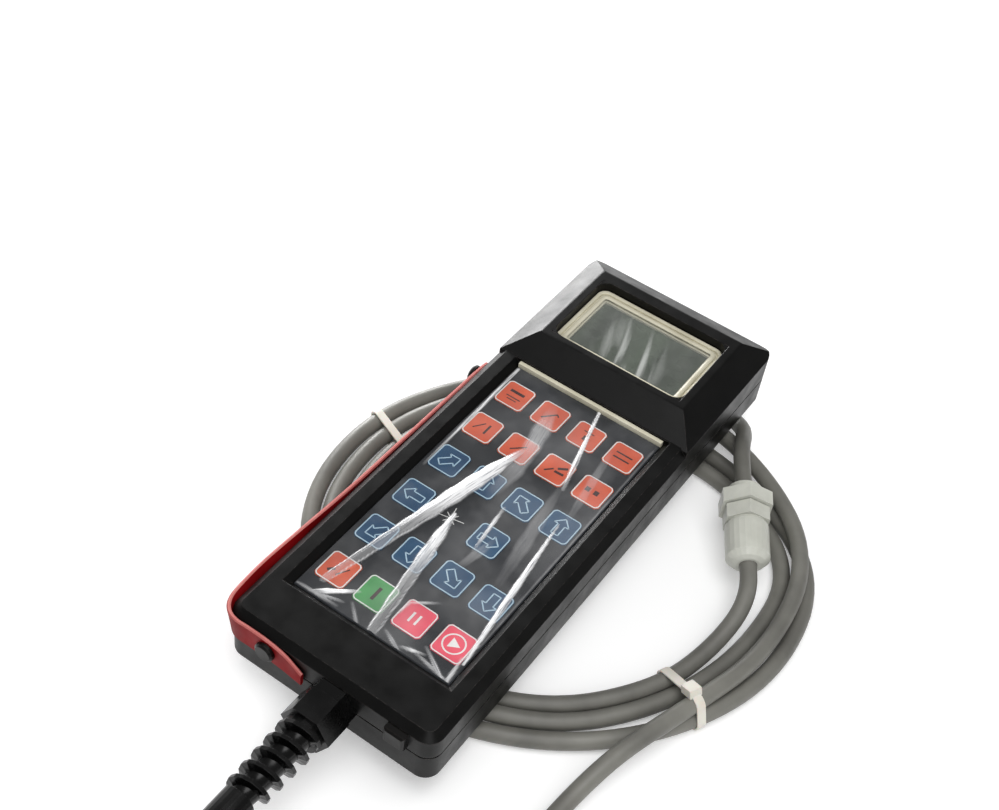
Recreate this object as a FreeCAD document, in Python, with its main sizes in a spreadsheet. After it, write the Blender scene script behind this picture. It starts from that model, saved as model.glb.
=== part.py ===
import FreeCAD, Part
import math
import operator
import os
from types import SimpleNamespace

import Sketcher
from FreeCAD import Placement, Rotation, Vector

# Hand control box with a display head, a keypad, a hand strap and a coiled cable.
# Design frame: X across the keypad, Y along the box towards the display head, Z out of the keypad.
# Zero is the middle of the key grid on top of the keypad overlay.

# Driving sizes in millimetres (the taper is a share, the coil's lean an angle in degrees)
SIZES = {
    # case outline, measured from the middle of the key grid
    "case_width": 100.0,
    "case_front": 105.0,
    "case_rear": 163.0,
    "corner_radius": 7.0,
    "wall": 2.5,
    "rim_height": 3.0,
    "rim_bevel": 3.4,
    "parting_drop": 10.0,
    "case_drop": 25.0,
    "back_bevel": 0.8,
    "seal_thick": 0.8,
    "seal_inset": 0.8,
    "seal_width": 1.5,
    # raised display head
    "neck_y": 81.0,
    "head_foot": 2.5,
    "head_height": 11.0,
    "head_side_run": 12.0,
    "head_rear_run": 13.5,
    "head_neck_run": 14.0,
    "head_edge_round": 2.0,
    # keypad recess and its layers
    "recess_width": 76.4,
    "recess_front": 79.0,
    "recess_slope": 3.0,
    "overlay_thick": 0.5,
    "spacer_thick": 1.1,
    "circuit_thick": 0.4,
    "carrier_thick": 1.5,
    "carrier_lip": 2.0,
    "carrier_lip_rise": 2.2,
    "layer_play": 0.2,
    # keys
    "key_pitch_x": 19.0,
    "key_pitch_y": 25.0,
    "key_width": 14.3,
    "key_length": 15.0,
    "key_corner": 1.3,
    "key_rise": 0.4,
    "key_edge": 0.2,
    "key_flange": 0.7,
    "key_flange_thick": 0.5,
    "key_play": 0.15,
    "key_stop_play": 0.02,
    "film_gap": 0.15,
    "film_thick": 0.15,
    "film_inset": 0.6,
    # display
    "display_y": 121.0,
    "bezel_width": 68.0,
    "bezel_length": 45.0,
    "bezel_top": 6.5,
    "bezel_thick": 3.0,
    "bezel_border": 3.4,
    "bezel_step": 2.4,
    "lens_thick": 1.0,
    "lens_seat": 1.6,
    "glass_width": 60.0,
    "glass_length": 38.0,
    "glass_thick": 2.3,
    "lcd_board_width": 66.0,
    "lcd_board_length": 46.0,
    "board_thick": 1.6,
    "fit_play": 0.15,
    # main board on its posts in the lower shell
    "board_width": 84.0,
    "board_front": 80.0,
    "board_rear": 146.0,
    "board_depth": 14.0,
    "post_x": 36.0,
    "post_inset": 8.0,
    "post_radius": 3.2,
    "post_screw_radius": 1.2,
    "post_screw_head": 2.4,
    "post_screw_head_thick": 1.6,
    "post_screw_length": 6.0,
    "header_width": 22.0,
    "header_length": 7.0,
    "header_height": 3.6,
    # case screws
    "screw_x": 42.0,
    "screw_inset": 9.0,
    "screw_radius": 1.5,
    "screw_head": 2.9,
    "screw_head_thick": 2.2,
    "screw_boss": 4.2,
    "screw_sink": 5.0,
    "screw_reach": 8.0,
    "screw_play": 0.2,
    # plain field on the back
    "field_width": 50.0,
    "field_length": 86.0,
    "field_y": 36.0,
    "field_depth": 0.5,
    # hand strap and its studs
    "strap_width": 12.0,
    "strap_thick": 2.0,
    "strap_gap": 4.0,
    "strap_corner_run": 17.5,
    "strap_seat": 0.1,
    "strap_drop": 5.0,
    "strap_lower_x": 28.0,
    "strap_end_x": 17.0,
    "strap_upper_y": 66.0,
    "strap_end_y": 74.0,
    "stud_radius": 4.5,
    "stud_head": 2.2,
    "stud_shank": 1.7,
    "stud_reach": 6.0,
    "stud_play": 0.1,
    "plug_x": 34.0,
    "plug_width": 9.5,
    "plug_height": 8.0,
    "plug_depth": 3.4,
    # cable gland on the lower end, a little right of the middle
    "gland_aside": 4.0,
    "gland_flats": 19.0,
    "gland_thread": 7.6,
    "gland_bore": 4.3,
    "gland_flange": 5.0,
    "gland_neck": 6.4,
    "gland_neck_length": 7.0,
    "gland_nut_flats": 20.0,
    "gland_nut_length": 12.5,
    "gland_nut_wall": 2.2,
    "gland_play": 0.15,
    "gland_thread_reach": 8.0,
    "inner_nut_flats": 18.0,
    "inner_nut_thick": 2.8,
    # spiral bend relief
    "relief_collar": 8.4,
    "relief_collar_length": 3.0,
    "relief_fin": 9.4,
    "relief_root": 5.6,
    "relief_fin_width": 3.4,
    "relief_tip_width": 1.6,
    "relief_pitch": 7.0,
    "relief_length": 38.0,
    "relief_taper": 0.13,
    "relief_tail": 7.0,
    "relief_tail_length": 13.0,
    # cable
    "cable_radius": 3.8,
    "cable_inside": 86.0,
    "coil_x": 20.5,
    "coil_y": 34.0,
    "coil_radius": 109.5,
    "coil_widest": 33.0,
    "coil_narrowest": 12.0,
    "coil_lean": 70.0,
    "coil_height": 14.3,
    "coil_bevel": 3.6,
    "coil_gap": 0.1,
    "tie_width": 4.8,
    "tie_thick": 1.3,
    "tie_head": 6.0,
    "tie_head_rise": 3.0,
    "wire_radius": 0.8,
    "wire_length": 24.0,
    # panel gland on the cable
    "panel_dome_radius": 9.8,
    "panel_dome_length": 19.0,
    "panel_dome_bevel": 3.2,
    "panel_dome_edge": 1.3,
    "panel_hex_length": 7.0,
    "panel_groove": 1.6,
    "panel_groove_radius": 8.8,
    "panel_thread_length": 12.0,
    "panel_nut_flats": 22.0,
    "panel_nut_thick": 7.0,
    "panel_nut_gap": 0.6,
}

# Key grid: row letters from the display end down, with the columns that carry a key
KEY_ROWS = {
    "a": (1, 2, 3, 4),
    "b": (1, 2, 3, 4),
    "c": (1, 2, 3, 4),
    "d": (1, 3),
    "e": (1, 2, 3, 4),
    "f": (1, 2, 3, 4),
}
MIDDLE_COLUMN = 2.5
MIDDLE_ROW = 2.5

# Route of the lead: first measured from the end of the bend relief, then on the table up to the coil
LEAD_FROM_RELIEF = [
    (0.0, -19.5, 0.0), (0.8, -41.5, -6.1), (6.0, -66.5, -16.6), (21.0, -86.5, -23.1), (46.0, -96.5, -25.0),
]
LEAD_ON_TABLE = [
    (72.0, -261.5, -35.4), (88.0, -239.0, -35.4), (94.0, -207.0, -35.4), (93.0, -166.0, -35.4),
    (91.5, -122.0, -35.4), (93.0, -82.0, -35.4), (98.5, -49.0, -35.4), (104.0, -20.0, -33.6),
    (108.6, -3.0, -33.2),
]
# Route of the tail from the coil through the panel gland to its end under the head
TAIL_POINTS = [
    (103.0, 4.5, -31.2), (107.8, 21.5, -29.0), (103.1, 52.7, -23.9), (68.2, 108.6, -17.3),
    (51.2, 134.0, -29.4), (33.0, 152.0, -33.5), (6.0, 157.0, -35.4),
]
GLAND_RUN = (2, 3)
GLAND_RUN_START = 14.0
# Strap centre line between the corner and the upper stud, as shares of the bow and of the length
STRAP_BOW = [(0.35, 0.0), (0.85, 0.25), (1.0, 0.52), (0.85, 0.76), (0.4, 0.92)]
STRAP_CORNER_SHARE = 0.15
ARC_SHARE = 0.45
SPIRAL_STEPS = 14
VOLUME_SLACK = 0.02
# Sides that stand for a round outline where a true circle would only add facets
ROUND_SIDES = 24
HIDDEN_SIDES = 12
CABLE_SIDES = 8
WIRE_SIDES = 6
COIL_SIDES = 40
# Share by which a 45 degree bevel grows when its outline moves out
BEVEL_SHARE = 2 - math.sqrt(2)
TIE_ANGLES = (-24.0, 175.0)
WIRE_RING = 6
WIRE_CIRCLE = 0.6


class Size:
    """A length with its number and the sheet expression that drives it."""

    def __init__(self, value, text):
        self.value = float(value)
        self.text = text

    def __add__(self, other):
        return combined(self, operator.add, "+", other)

    def __sub__(self, other):
        return combined(self, operator.sub, "-", other)

    def __mul__(self, other):
        return combined(self, operator.mul, "*", other)

    def __truediv__(self, other):
        return combined(self, operator.truediv, "/", other)

    def __neg__(self):
        return combined(plain(0), operator.sub, "-", self)


def plain(number):
    """A bare number as a Size."""
    if isinstance(number, Size):
        return number
    return Size(number, "(%.9f)" % number)


def combined(left, action, sign, right):
    """Two sizes joined by one arithmetic sign."""
    right = plain(right)
    return Size(action(left.value, right.value), "(%s %s %s)" % (left.text, sign, right.text))


doc = FreeCAD.newDocument("HandControlBox")
sheet = doc.addObject("Spreadsheet::Sheet", "Sizes")
for line, (alias, number) in enumerate(SIZES.items(), start=1):
    sheet.set("A%d" % line, alias)
    sheet.set("B%d" % line, str(number))
    sheet.setAlias("B%d" % line, alias)
doc.recompute()
sz = SimpleNamespace(**{alias: Size(sheet.get(alias), "Sizes." + alias) for alias in SIZES})

# Levels along Z in the design frame, and the length by which a cut runs past a face
ZERO = plain(0)
OVER = plain(1)
overlay_under = -sz.overlay_thick
spacer_under = overlay_under - sz.spacer_thick
circuit_under = spacer_under - sz.circuit_thick
carrier_under = circuit_under - sz.carrier_thick
parting = -sz.parting_drop
seal_under = parting - sz.seal_thick
back = -sz.case_drop
gland_level = parting - sz.seal_thick / 2
board_top = -sz.board_depth
board_under = board_top - sz.board_thick
bezel_under = sz.bezel_top - sz.bezel_thick
head_ceiling = bezel_under - sz.wall
half_width = sz.case_width / 2
recess_half = sz.recess_width / 2
floor_level = back - sz.coil_gap - sz.coil_height

strap_front = sz.case_front + sz.strap_thick + sz.strap_seat * 2
strap_side = half_width + sz.strap_thick + sz.strap_seat * 2

# The frame's origin is the middle of the box with its strap and studs
shift = (
    (sz.strap_gap + sz.strap_thick) / 2,
    (strap_front + sz.stud_head - sz.case_rear) / 2,
    (sz.case_drop - sz.head_height) / 2,
)
subparts = {}


def keep(label, item):
    """Enter an object as a sub-part under its own label."""
    item.Label = label
    subparts[label] = item
    return item


def new_body(label, x=ZERO, y=ZERO, z=ZERO):
    """An empty body whose design-frame place is held by the sheet."""
    body = keep(label, doc.addObject("PartDesign::Body", label))
    for axis, base, move in zip("xyz", shift, (x, y, z)):
        body.setExpression("Placement.Base." + axis, (base + move).text)
    return body


def computed(label, shape):
    """A sub-part whose shape is worked out here from the sheet's sizes."""
    item = keep(label, doc.addObject("Part::Feature", label))
    item.Shape = shape
    move = Placement(Vector(*[part.value for part in shift]), Rotation())
    item.Placement = move.multiply(shape.Placement)
    return item


def sketch_on(body, plane, level=ZERO):
    """A sketch on one of the body's own planes, lifted along the plane's normal."""
    sketch = body.newObject("Sketcher::SketchObject", body.Label + "_sketch")
    support = [item for item in body.Origin.OriginFeatures if item.Role == plane]
    sketch.AttachmentSupport = [(support[0], "")]
    sketch.MapMode = "FlatFace"
    sketch.setExpression("AttachmentOffset.Base.z", level.text)
    return sketch


def hold_point(sketch, geometry, end, x, y):
    """Hold a point of a sketch at sizes from the sketch's origin."""
    for kind, size in (("DistanceX", x), ("DistanceY", y)):
        size = plain(size)
        index = sketch.addConstraint(Sketcher.Constraint(kind, -1, 1, geometry, end, size.value))
        sketch.setExpression("Constraints[%d]" % index, size.text)


def polygon(sketch, points):
    """Closed outline of straight lines with every corner held."""
    points = [(plain(x), plain(y)) for x, y in points]
    first = sketch.GeometryCount
    count = len(points)
    for (x1, y1), (x2, y2) in zip(points, points[1:] + points[:1]):
        line = Part.LineSegment(Vector(x1.value, y1.value, 0), Vector(x2.value, y2.value, 0))
        sketch.addGeometry(line, False)
    for step in range(count):
        after = first + (step + 1) % count
        sketch.addConstraint(Sketcher.Constraint("Coincident", first + step, 2, after, 1))
    for step, (x, y) in enumerate(points):
        hold_point(sketch, first + step, 1, x, y)


def rectangle(sketch, left, low, right, high):
    """Upright rectangle between two held corners."""
    polygon(sketch, [(left, low), (right, low), (right, high), (left, high)])


def circle(sketch, x, y, radius):
    """Circle with held centre and radius."""
    x, y, radius = plain(x), plain(y), plain(radius)
    outline = Part.Circle(Vector(x.value, y.value, 0), Vector(0, 0, 1), radius.value)
    geometry = sketch.addGeometry(outline, False)
    hold_point(sketch, geometry, 3, x, y)
    index = sketch.addConstraint(Sketcher.Constraint("Radius", geometry, radius.value))
    sketch.setExpression("Constraints[%d]" % index, radius.text)


def regular(sketch, x, y, radius, sides):
    """Regular outline by the radius to its corners, the first corner along the sketch's own X."""
    x, y = plain(x), plain(y)
    turns = [2 * math.pi * step / sides for step in range(sides)]
    polygon(sketch, [(x + radius * math.cos(turn), y + radius * math.sin(turn)) for turn in turns])


def hexagon(sketch, flats):
    """Hexagon round the sketch's origin by its width across flats."""
    regular(sketch, ZERO, ZERO, flats / math.sqrt(3), 6)


def ring(sketch, *radii):
    """Many-sided outlines round the sketch's origin, standing for circles."""
    for radius in radii:
        regular(sketch, ZERO, ZERO, radius, ROUND_SIDES)


def dots(sketch, places, radius):
    """A small hidden round outline at each place."""
    for x, y in places:
        regular(sketch, x, y, radius, HIDDEN_SIDES)


def feature(body, kind, sketch):
    """A sketch-based feature of a body, with its sketch solved first."""
    doc.recompute()
    item = body.newObject("PartDesign::" + kind, body.Label + "_" + kind)
    item.Profile = sketch
    return item


def pad(body, sketch, length, reverse=False):
    """Add a straight pad."""
    item = feature(body, "Pad", sketch)
    item.Reversed = reverse
    item.setExpression("Length", length.text)
    doc.recompute()
    return item


def pocket(body, sketch, depth, reverse=False):
    """Cut a straight pocket, and stop the build if it removes nothing."""
    before = body.Shape.Volume
    item = feature(body, "Pocket", sketch)
    item.Reversed = reverse
    item.setExpression("Length", depth.text)
    doc.recompute()
    if body.Shape.Volume > before - 1e-6:
        raise RuntimeError("a pocket of %s removes nothing" % body.Label)
    return item


def loft(body, kind, first, second):
    """Loft between two sketches."""
    item = feature(body, kind, first)
    item.Sections = [second]
    item.Ruled = True
    doc.recompute()
    return item


def edges_where(body, test):
    """Names of the edges of a body whose ends and middle all pass a test."""
    names = []
    for number, edge in enumerate(body.Tip.Shape.Edges, start=1):
        spots = [vertex.Point for vertex in edge.Vertexes]
        spots.append(edge.CenterOfMass)
        if all(test(spot) for spot in spots):
            names.append("Edge%d" % number)
    return names


def upright(body, test=None):
    """Names of the straight edges along Z, all of them or those that pass a test."""
    names = []
    for number, edge in enumerate(body.Tip.Shape.Edges, start=1):
        ends = [vertex.Point for vertex in edge.Vertexes]
        if len(ends) == 2 and (ends[0] - ends[1]).cross(Vector(0, 0, 1)).Length < 1e-6:
            if test is None or test(ends[0]):
                names.append("Edge%d" % number)
    return names


def dress(body, kind, edges, prop, size):
    """Fillet or chamfer named edges of a body."""
    if not edges:
        raise RuntimeError("no edge to dress on %s" % body.Label)
    base = body.Tip
    item = body.newObject("PartDesign::" + kind, body.Label + "_" + kind)
    item.Base = (base, edges)
    item.setExpression(prop, size.text)
    doc.recompute()
    return item


def near(number, size):
    """Whether a coordinate lies at a size."""
    return abs(number - size.value) < 1e-4


def round_edges(body, edges, size):
    dress(body, "Fillet", edges, "Radius", size)


def bevel_edges(body, edges, size):
    dress(body, "Chamfer", edges, "Size", size)


def key_places():
    """Label and grid place of every key."""
    for row, (letter, columns) in enumerate(KEY_ROWS.items()):
        for column in columns:
            x = sz.key_pitch_x * (column - MIDDLE_COLUMN)
            y = sz.key_pitch_y * (MIDDLE_ROW - row)
            yield "key_%s%d" % (letter, column), x, y


def screw_places():
    """Places of the four case screws."""
    front = -sz.case_front + sz.screw_inset
    rear = sz.case_rear - sz.screw_inset
    return [(sz.screw_x * side, y) for side in (-1, 1) for y in (front, rear)]


def post_places():
    """Places of the four posts under the main board."""
    front = -sz.board_front + sz.post_inset
    rear = sz.board_rear - sz.post_inset
    return [(sz.post_x * side, y) for side in (-1, 1) for y in (front, rear)]


def cut_gland_hole(body):
    """The round hole for the gland thread in the lower end wall."""
    sketch = sketch_on(body, "XZ_Plane", sz.case_front + OVER)
    circle(sketch, sz.gland_aside, gland_level, sz.gland_thread + sz.gland_play)
    pocket(body, sketch, sz.wall + OVER * 2)


def make_head(body):
    """The raised display head with its four sloped sides."""
    block = sketch_on(body, "XY_Plane", parting)
    rectangle(block, -half_width, sz.neck_y, half_width, sz.case_rear)
    pad(body, block, sz.head_foot - parting)
    foot = sketch_on(body, "XY_Plane", sz.head_foot)
    rectangle(foot, -half_width, sz.neck_y, half_width, sz.case_rear)
    top = sketch_on(body, "XY_Plane", sz.head_height)
    left = -half_width + sz.head_side_run
    low = sz.neck_y + sz.head_neck_run
    rectangle(top, left, low, -left, sz.case_rear - sz.head_rear_run)
    loft(body, "AdditiveLoft", foot, top)
    round_edges(body, edges_where(body, lambda spot: near(spot.z, sz.head_height)), sz.head_edge_round)


def corner_spandrel(sketch, side):
    """Outline between a square rear corner and the arc that rounds it."""
    corner_x = half_width * side
    reach = sz.corner_radius.value
    outer = Vector(corner_x.value, sz.case_rear.value, 0)
    inner = outer - Vector(reach * side, reach, 0)
    on_rear = Vector(inner.x, outer.y, 0)
    on_side = Vector(outer.x, inner.y, 0)
    middle = inner + Vector(side, 1, 0) * (reach * math.sqrt(0.5))
    ends = (on_side, middle, on_rear) if side > 0 else (on_rear, middle, on_side)
    rear_end, side_end = (2, 1) if side > 0 else (1, 2)
    arc = sketch.addGeometry(Part.Arc(*ends), False)
    along_rear = sketch.addGeometry(Part.LineSegment(on_rear, outer), False)
    along_side = sketch.addGeometry(Part.LineSegment(outer, on_side), False)
    sketch.addConstraint(Sketcher.Constraint("Coincident", along_rear, 2, along_side, 1))
    sketch.addConstraint(Sketcher.Constraint("Horizontal", along_rear))
    sketch.addConstraint(Sketcher.Constraint("Vertical", along_side))
    sketch.addConstraint(Sketcher.Constraint("Tangent", arc, rear_end, along_rear, 1))
    sketch.addConstraint(Sketcher.Constraint("Tangent", arc, side_end, along_side, 2))
    hold_point(sketch, along_rear, 2, corner_x, sz.case_rear)
    index = sketch.addConstraint(Sketcher.Constraint("Radius", arc, reach))
    sketch.setExpression("Constraints[%d]" % index, sz.corner_radius.text)


def round_rear_corners(body):
    """Round the two rear corners in plan, through the sloped sides."""
    for side in (-1, 1):
        sketch = sketch_on(body, "XY_Plane", sz.head_height)
        corner_spandrel(sketch, side)
        pocket(body, sketch, sz.head_height + sz.parting_drop)


def cut_keypad_recess(body):
    """Sloped recess for the keypad with a straight seat under it."""
    wide = sketch_on(body, "XY_Plane", sz.rim_height)
    wide_half = recess_half + sz.recess_slope
    rectangle(wide, -wide_half, -sz.recess_front - sz.recess_slope, wide_half, sz.neck_y)
    seat = sketch_on(body, "XY_Plane")
    rectangle(seat, -recess_half, -sz.recess_front, recess_half, sz.neck_y)
    loft(body, "SubtractiveLoft", wide, seat)
    floor = sketch_on(body, "XY_Plane")
    rectangle(floor, -recess_half, -sz.recess_front, recess_half, sz.neck_y)
    pocket(body, floor, -carrier_under)


def cut_display_window(body):
    """Stepped opening in the head for the display frame and the glass."""
    for width, length, level, depth in (
        (sz.bezel_width, sz.bezel_length, sz.head_height, sz.head_height - bezel_under),
        (sz.glass_width, sz.glass_length, bezel_under, sz.wall),
    ):
        sketch = sketch_on(body, "XY_Plane", level)
        half = width / 2 + sz.fit_play
        reach = length / 2 + sz.fit_play
        rectangle(sketch, -half, sz.display_y - reach, half, sz.display_y + reach)
        pocket(body, sketch, depth)


def hollow_outline(sketch, low, high, cut_low, cut_high):
    """Outline of a hollow between the side walls, with end corners cut off where the case is rounded."""
    inner = half_width - sz.wall
    cut = sz.corner_radius - sz.wall
    points = []
    for side_order, y, step, is_cut in (((-1, 1), low, cut, cut_low), ((1, -1), high, -cut, cut_high)):
        for side in side_order:
            if is_cut:
                ends = [(inner * side, y + step), ((inner - cut) * side, y)]
                points += ends if side == side_order[0] else ends[::-1]
            else:
                points.append((inner * side, y))
    polygon(sketch, points)


def cut_upper_hollow(body):
    """Hollow of the upper shell: under the end, under the keypad and under the display."""
    keypad_start = -sz.recess_front - sz.recess_slope
    keypad_end = sz.neck_y + sz.wall
    zones = (
        (-sz.case_front + sz.wall, keypad_start, sz.rim_height - sz.wall, True, False),
        (keypad_start, keypad_end, carrier_under - sz.wall, False, False),
        (keypad_end, sz.case_rear - sz.wall, head_ceiling, False, True),
    )
    for low, high, ceiling, cut_low, cut_high in zones:
        sketch = sketch_on(body, "XY_Plane", parting)
        hollow_outline(sketch, low, high, cut_low, cut_high)
        pocket(body, sketch, ceiling - parting, reverse=True)


def make_upper_shell():
    """Moulded upper shell with bevelled rim, keypad recess and display head."""
    body = new_body("upper_shell")
    outline = sketch_on(body, "XY_Plane", parting)
    rectangle(outline, -half_width, -sz.case_front, half_width, sz.neck_y + sz.head_neck_run * 2)
    pad(body, outline, sz.rim_height - parting)
    round_edges(body, upright(body, lambda spot: near(spot.y, -sz.case_front)), sz.corner_radius)
    bevel_edges(body, edges_where(body, lambda spot: near(spot.z, sz.rim_height)), sz.rim_bevel)
    make_head(body)
    round_rear_corners(body)
    cut_keypad_recess(body)
    cut_upper_hollow(body)
    cut_display_window(body)
    bosses = sketch_on(body, "XY_Plane", parting)
    dots(bosses, screw_places(), sz.screw_boss)
    pad(body, bosses, head_ceiling + sz.wall / 4 - parting)
    pilots = sketch_on(body, "XY_Plane", parting)
    dots(pilots, screw_places(), sz.screw_radius + sz.stud_play)
    pocket(body, pilots, sz.screw_reach, reverse=True)
    cut_gland_hole(body)
    lower_stud = sketch_on(body, "XZ_Plane", sz.case_front + OVER)
    circle(lower_stud, -sz.strap_lower_x, -sz.strap_drop, sz.stud_shank + sz.stud_play)
    pocket(body, lower_stud, sz.stud_reach + OVER * 2)
    upper_stud = sketch_on(body, "YZ_Plane", -half_width - OVER)
    circle(upper_stud, sz.strap_upper_y, -sz.strap_drop, sz.stud_shank + sz.stud_play)
    pocket(body, upper_stud, sz.stud_reach + OVER * 2, reverse=True)


def make_lower_shell():
    """Lower shell with bevelled back, screw bosses and board posts."""
    body = new_body("lower_shell")
    outline = sketch_on(body, "XY_Plane", back)
    rectangle(outline, -half_width, -sz.case_front, half_width, sz.case_rear)
    pad(body, outline, seal_under - back)
    round_edges(body, upright(body), sz.corner_radius)
    bevel_edges(body, edges_where(body, lambda spot: near(spot.z, back)), sz.back_bevel)
    hollow = sketch_on(body, "XY_Plane", seal_under)
    hollow_outline(hollow, -sz.case_front + sz.wall, sz.case_rear - sz.wall, True, True)
    pocket(body, hollow, seal_under - back - sz.wall)
    bosses = sketch_on(body, "XY_Plane", back + sz.wall / 2)
    dots(bosses, screw_places(), sz.screw_boss)
    pad(body, bosses, parting - back - sz.wall / 2)
    posts = sketch_on(body, "XY_Plane", back + sz.wall / 2)
    dots(posts, post_places(), sz.post_radius)
    pad(body, posts, board_under - back - sz.wall / 2)
    pilots = sketch_on(body, "XY_Plane", board_under)
    dots(pilots, post_places(), sz.post_screw_radius + sz.stud_play)
    pocket(body, pilots, sz.post_screw_length - sz.board_thick + OVER)
    sinks = sketch_on(body, "XY_Plane", back)
    for x, y in screw_places():
        circle(sinks, x, y, sz.screw_head + sz.screw_play)
    pocket(body, sinks, sz.screw_sink, reverse=True)
    shafts = sketch_on(body, "XY_Plane", back)
    dots(shafts, screw_places(), sz.screw_radius + sz.screw_play)
    pocket(body, shafts, sz.case_drop, reverse=True)
    field = sketch_on(body, "XY_Plane", back)
    field_half = sz.field_width / 2
    field_low = sz.field_y - sz.field_length / 2
    rectangle(field, -field_half, field_low, field_half, field_low + sz.field_length)
    pocket(body, field, sz.field_depth, reverse=True)
    cut_gland_hole(body)


def make_case_seal():
    """Flat seal between the shells, set back to show as a dark parting line."""
    body = new_body("case_seal")
    sketch = sketch_on(body, "XY_Plane", seal_under)
    for inset in (sz.seal_inset, sz.seal_inset + sz.seal_width):
        half = half_width - inset
        rectangle(sketch, -half, -sz.case_front + inset, half, sz.case_rear - inset)
    pad(body, sketch, sz.seal_thick)
    for inset in (sz.seal_inset + sz.seal_width, sz.seal_inset):
        half = half_width - inset
        round_edges(body, upright(body, lambda spot: near(abs(spot.x), half)), sz.corner_radius - inset)
    cut_gland_hole(body)


def sided_wire(radius, level, sides, x=0.0, y=0.0):
    """Regular closed outline at a level along Z."""
    turns = [2 * math.pi * step / sides for step in range(sides)]
    corners = [Vector(x + radius * math.cos(turn), y + radius * math.sin(turn), level) for turn in turns]
    return Part.makePolygon(corners + corners[:1])


def sided_solid(profile, sides, x=0.0, y=0.0):
    """Solid through regular outlines, from (radius, level) pairs in rising order."""
    return Part.makeLoft([sided_wire(radius, level, sides, x, y) for radius, level in profile], True, True)


def headed(head_radius, head_thick, shank_radius, length, sides):
    """A plain screw or stud, with the head below zero and the shank above."""
    head, thick = head_radius.value, head_thick.value
    cap = sided_solid([(head * 0.8, -thick), (head, -thick * 0.6), (head, 0)], sides)
    shank = sided_solid([(shank_radius.value, 0), (shank_radius.value, length.value)], sides)
    return cap.fuse(shank).Solids[0]


def standing(solid, at, direction):
    """A copy of a solid, moved to a point with its Z axis along a direction."""
    copy = solid.copy()
    copy.Placement = Placement(at, Rotation(Vector(0, 0, 1), direction))
    return copy


def make_fasteners():
    """Case screws, board screws and strap studs, each kind a group of separate solids."""
    screw = headed(sz.screw_head, sz.screw_head_thick, sz.screw_radius,
                   parting - back - sz.screw_sink + sz.screw_reach - OVER, HIDDEN_SIDES)
    sink = (back + sz.screw_sink).value
    screws = [standing(screw, Vector(x.value, y.value, sink), Vector(0, 0, 1)) for x, y in screw_places()]
    computed("case_screws", Part.makeCompound(screws))
    screw = headed(sz.post_screw_head, sz.post_screw_head_thick, sz.post_screw_radius,
                   sz.post_screw_length, HIDDEN_SIDES)
    top = board_top.value
    screws = [standing(screw, Vector(x.value, y.value, top), Vector(0, 0, -1)) for x, y in post_places()]
    computed("board_screws", Part.makeCompound(screws))
    stud = headed(sz.stud_radius, sz.stud_head, sz.stud_shank, sz.strap_thick + sz.stud_reach, ROUND_SIDES)
    low = Vector(-sz.strap_lower_x.value, -strap_front.value, -sz.strap_drop.value)
    high = Vector(-strap_side.value, sz.strap_upper_y.value, -sz.strap_drop.value)
    studs = [standing(stud, low, Vector(0, 1, 0)), standing(stud, high, Vector(1, 0, 0))]
    computed("strap_studs", Part.makeCompound(studs))


def make_layer(label, level, thick, opening):
    """A keypad layer, with an opening at each key if an opening margin is given."""
    body = new_body(label)
    sketch = sketch_on(body, "XY_Plane", level)
    half = recess_half - sz.layer_play
    rear = sz.neck_y - sz.carrier_lip - sz.layer_play * 2
    rectangle(sketch, -half, -sz.recess_front + sz.layer_play, half, rear)
    if opening is not None:
        across = sz.key_width / 2 + opening
        along = sz.key_length / 2 + opening
        for _, x, y in key_places():
            rectangle(sketch, x - across, y - along, x + across, y + along)
    pad(body, sketch, thick)
    return body


def make_keypad():
    """Carrier, membrane circuit, spacer, overlay and the clear film on top."""
    overlay = make_layer("keypad_overlay", overlay_under, sz.overlay_thick, sz.key_play)
    openings = upright(overlay, lambda spot: abs(spot.x) < (recess_half - sz.layer_play * 2).value)
    bevel_edges(overlay, openings, sz.key_corner + sz.key_play * BEVEL_SHARE)
    make_layer("keypad_spacer", spacer_under, sz.spacer_thick, sz.key_flange + sz.key_play)
    make_layer("keypad_circuit", circuit_under, sz.circuit_thick, None)
    carrier = new_body("keypad_carrier")
    plate = sketch_on(carrier, "XY_Plane", carrier_under)
    half = recess_half - sz.layer_play
    rear = sz.neck_y - sz.layer_play
    rectangle(plate, -half, -sz.recess_front + sz.layer_play, half, rear)
    pad(carrier, plate, sz.carrier_thick)
    lip = sketch_on(carrier, "XY_Plane", circuit_under)
    rectangle(lip, -half, rear - sz.carrier_lip, half, rear)
    pad(carrier, lip, sz.carrier_lip_rise - circuit_under)
    film = new_body("keypad_film")
    sheet_outline = sketch_on(film, "XY_Plane", sz.key_rise + sz.film_gap)
    half = recess_half - sz.film_inset
    rear = sz.neck_y - sz.carrier_lip - sz.film_inset
    rectangle(sheet_outline, -half, -sz.recess_front + sz.film_inset, half, rear)
    pad(film, sheet_outline, sz.film_thick)


def make_key(label, x, y):
    """One key: a rounded pad with a flange that is held under the overlay."""
    body = new_body(label, x, y)
    across = sz.key_width / 2
    along = sz.key_length / 2
    pad_sketch = sketch_on(body, "XY_Plane", overlay_under - sz.key_stop_play - sz.key_flange_thick)
    rectangle(pad_sketch, -across, -along, across, along)
    pad(body, pad_sketch, sz.key_rise + sz.overlay_thick + sz.key_stop_play + sz.key_flange_thick)
    bevel_edges(body, upright(body), sz.key_corner)
    bevel_edges(body, edges_where(body, lambda spot: near(spot.z, sz.key_rise)), sz.key_edge)
    flange = sketch_on(body, "XY_Plane", overlay_under - sz.key_stop_play)
    across = across + sz.key_flange
    along = along + sz.key_flange
    rectangle(flange, -across, -along, across, along)
    pad(body, flange, sz.key_flange_thick, reverse=True)


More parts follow.
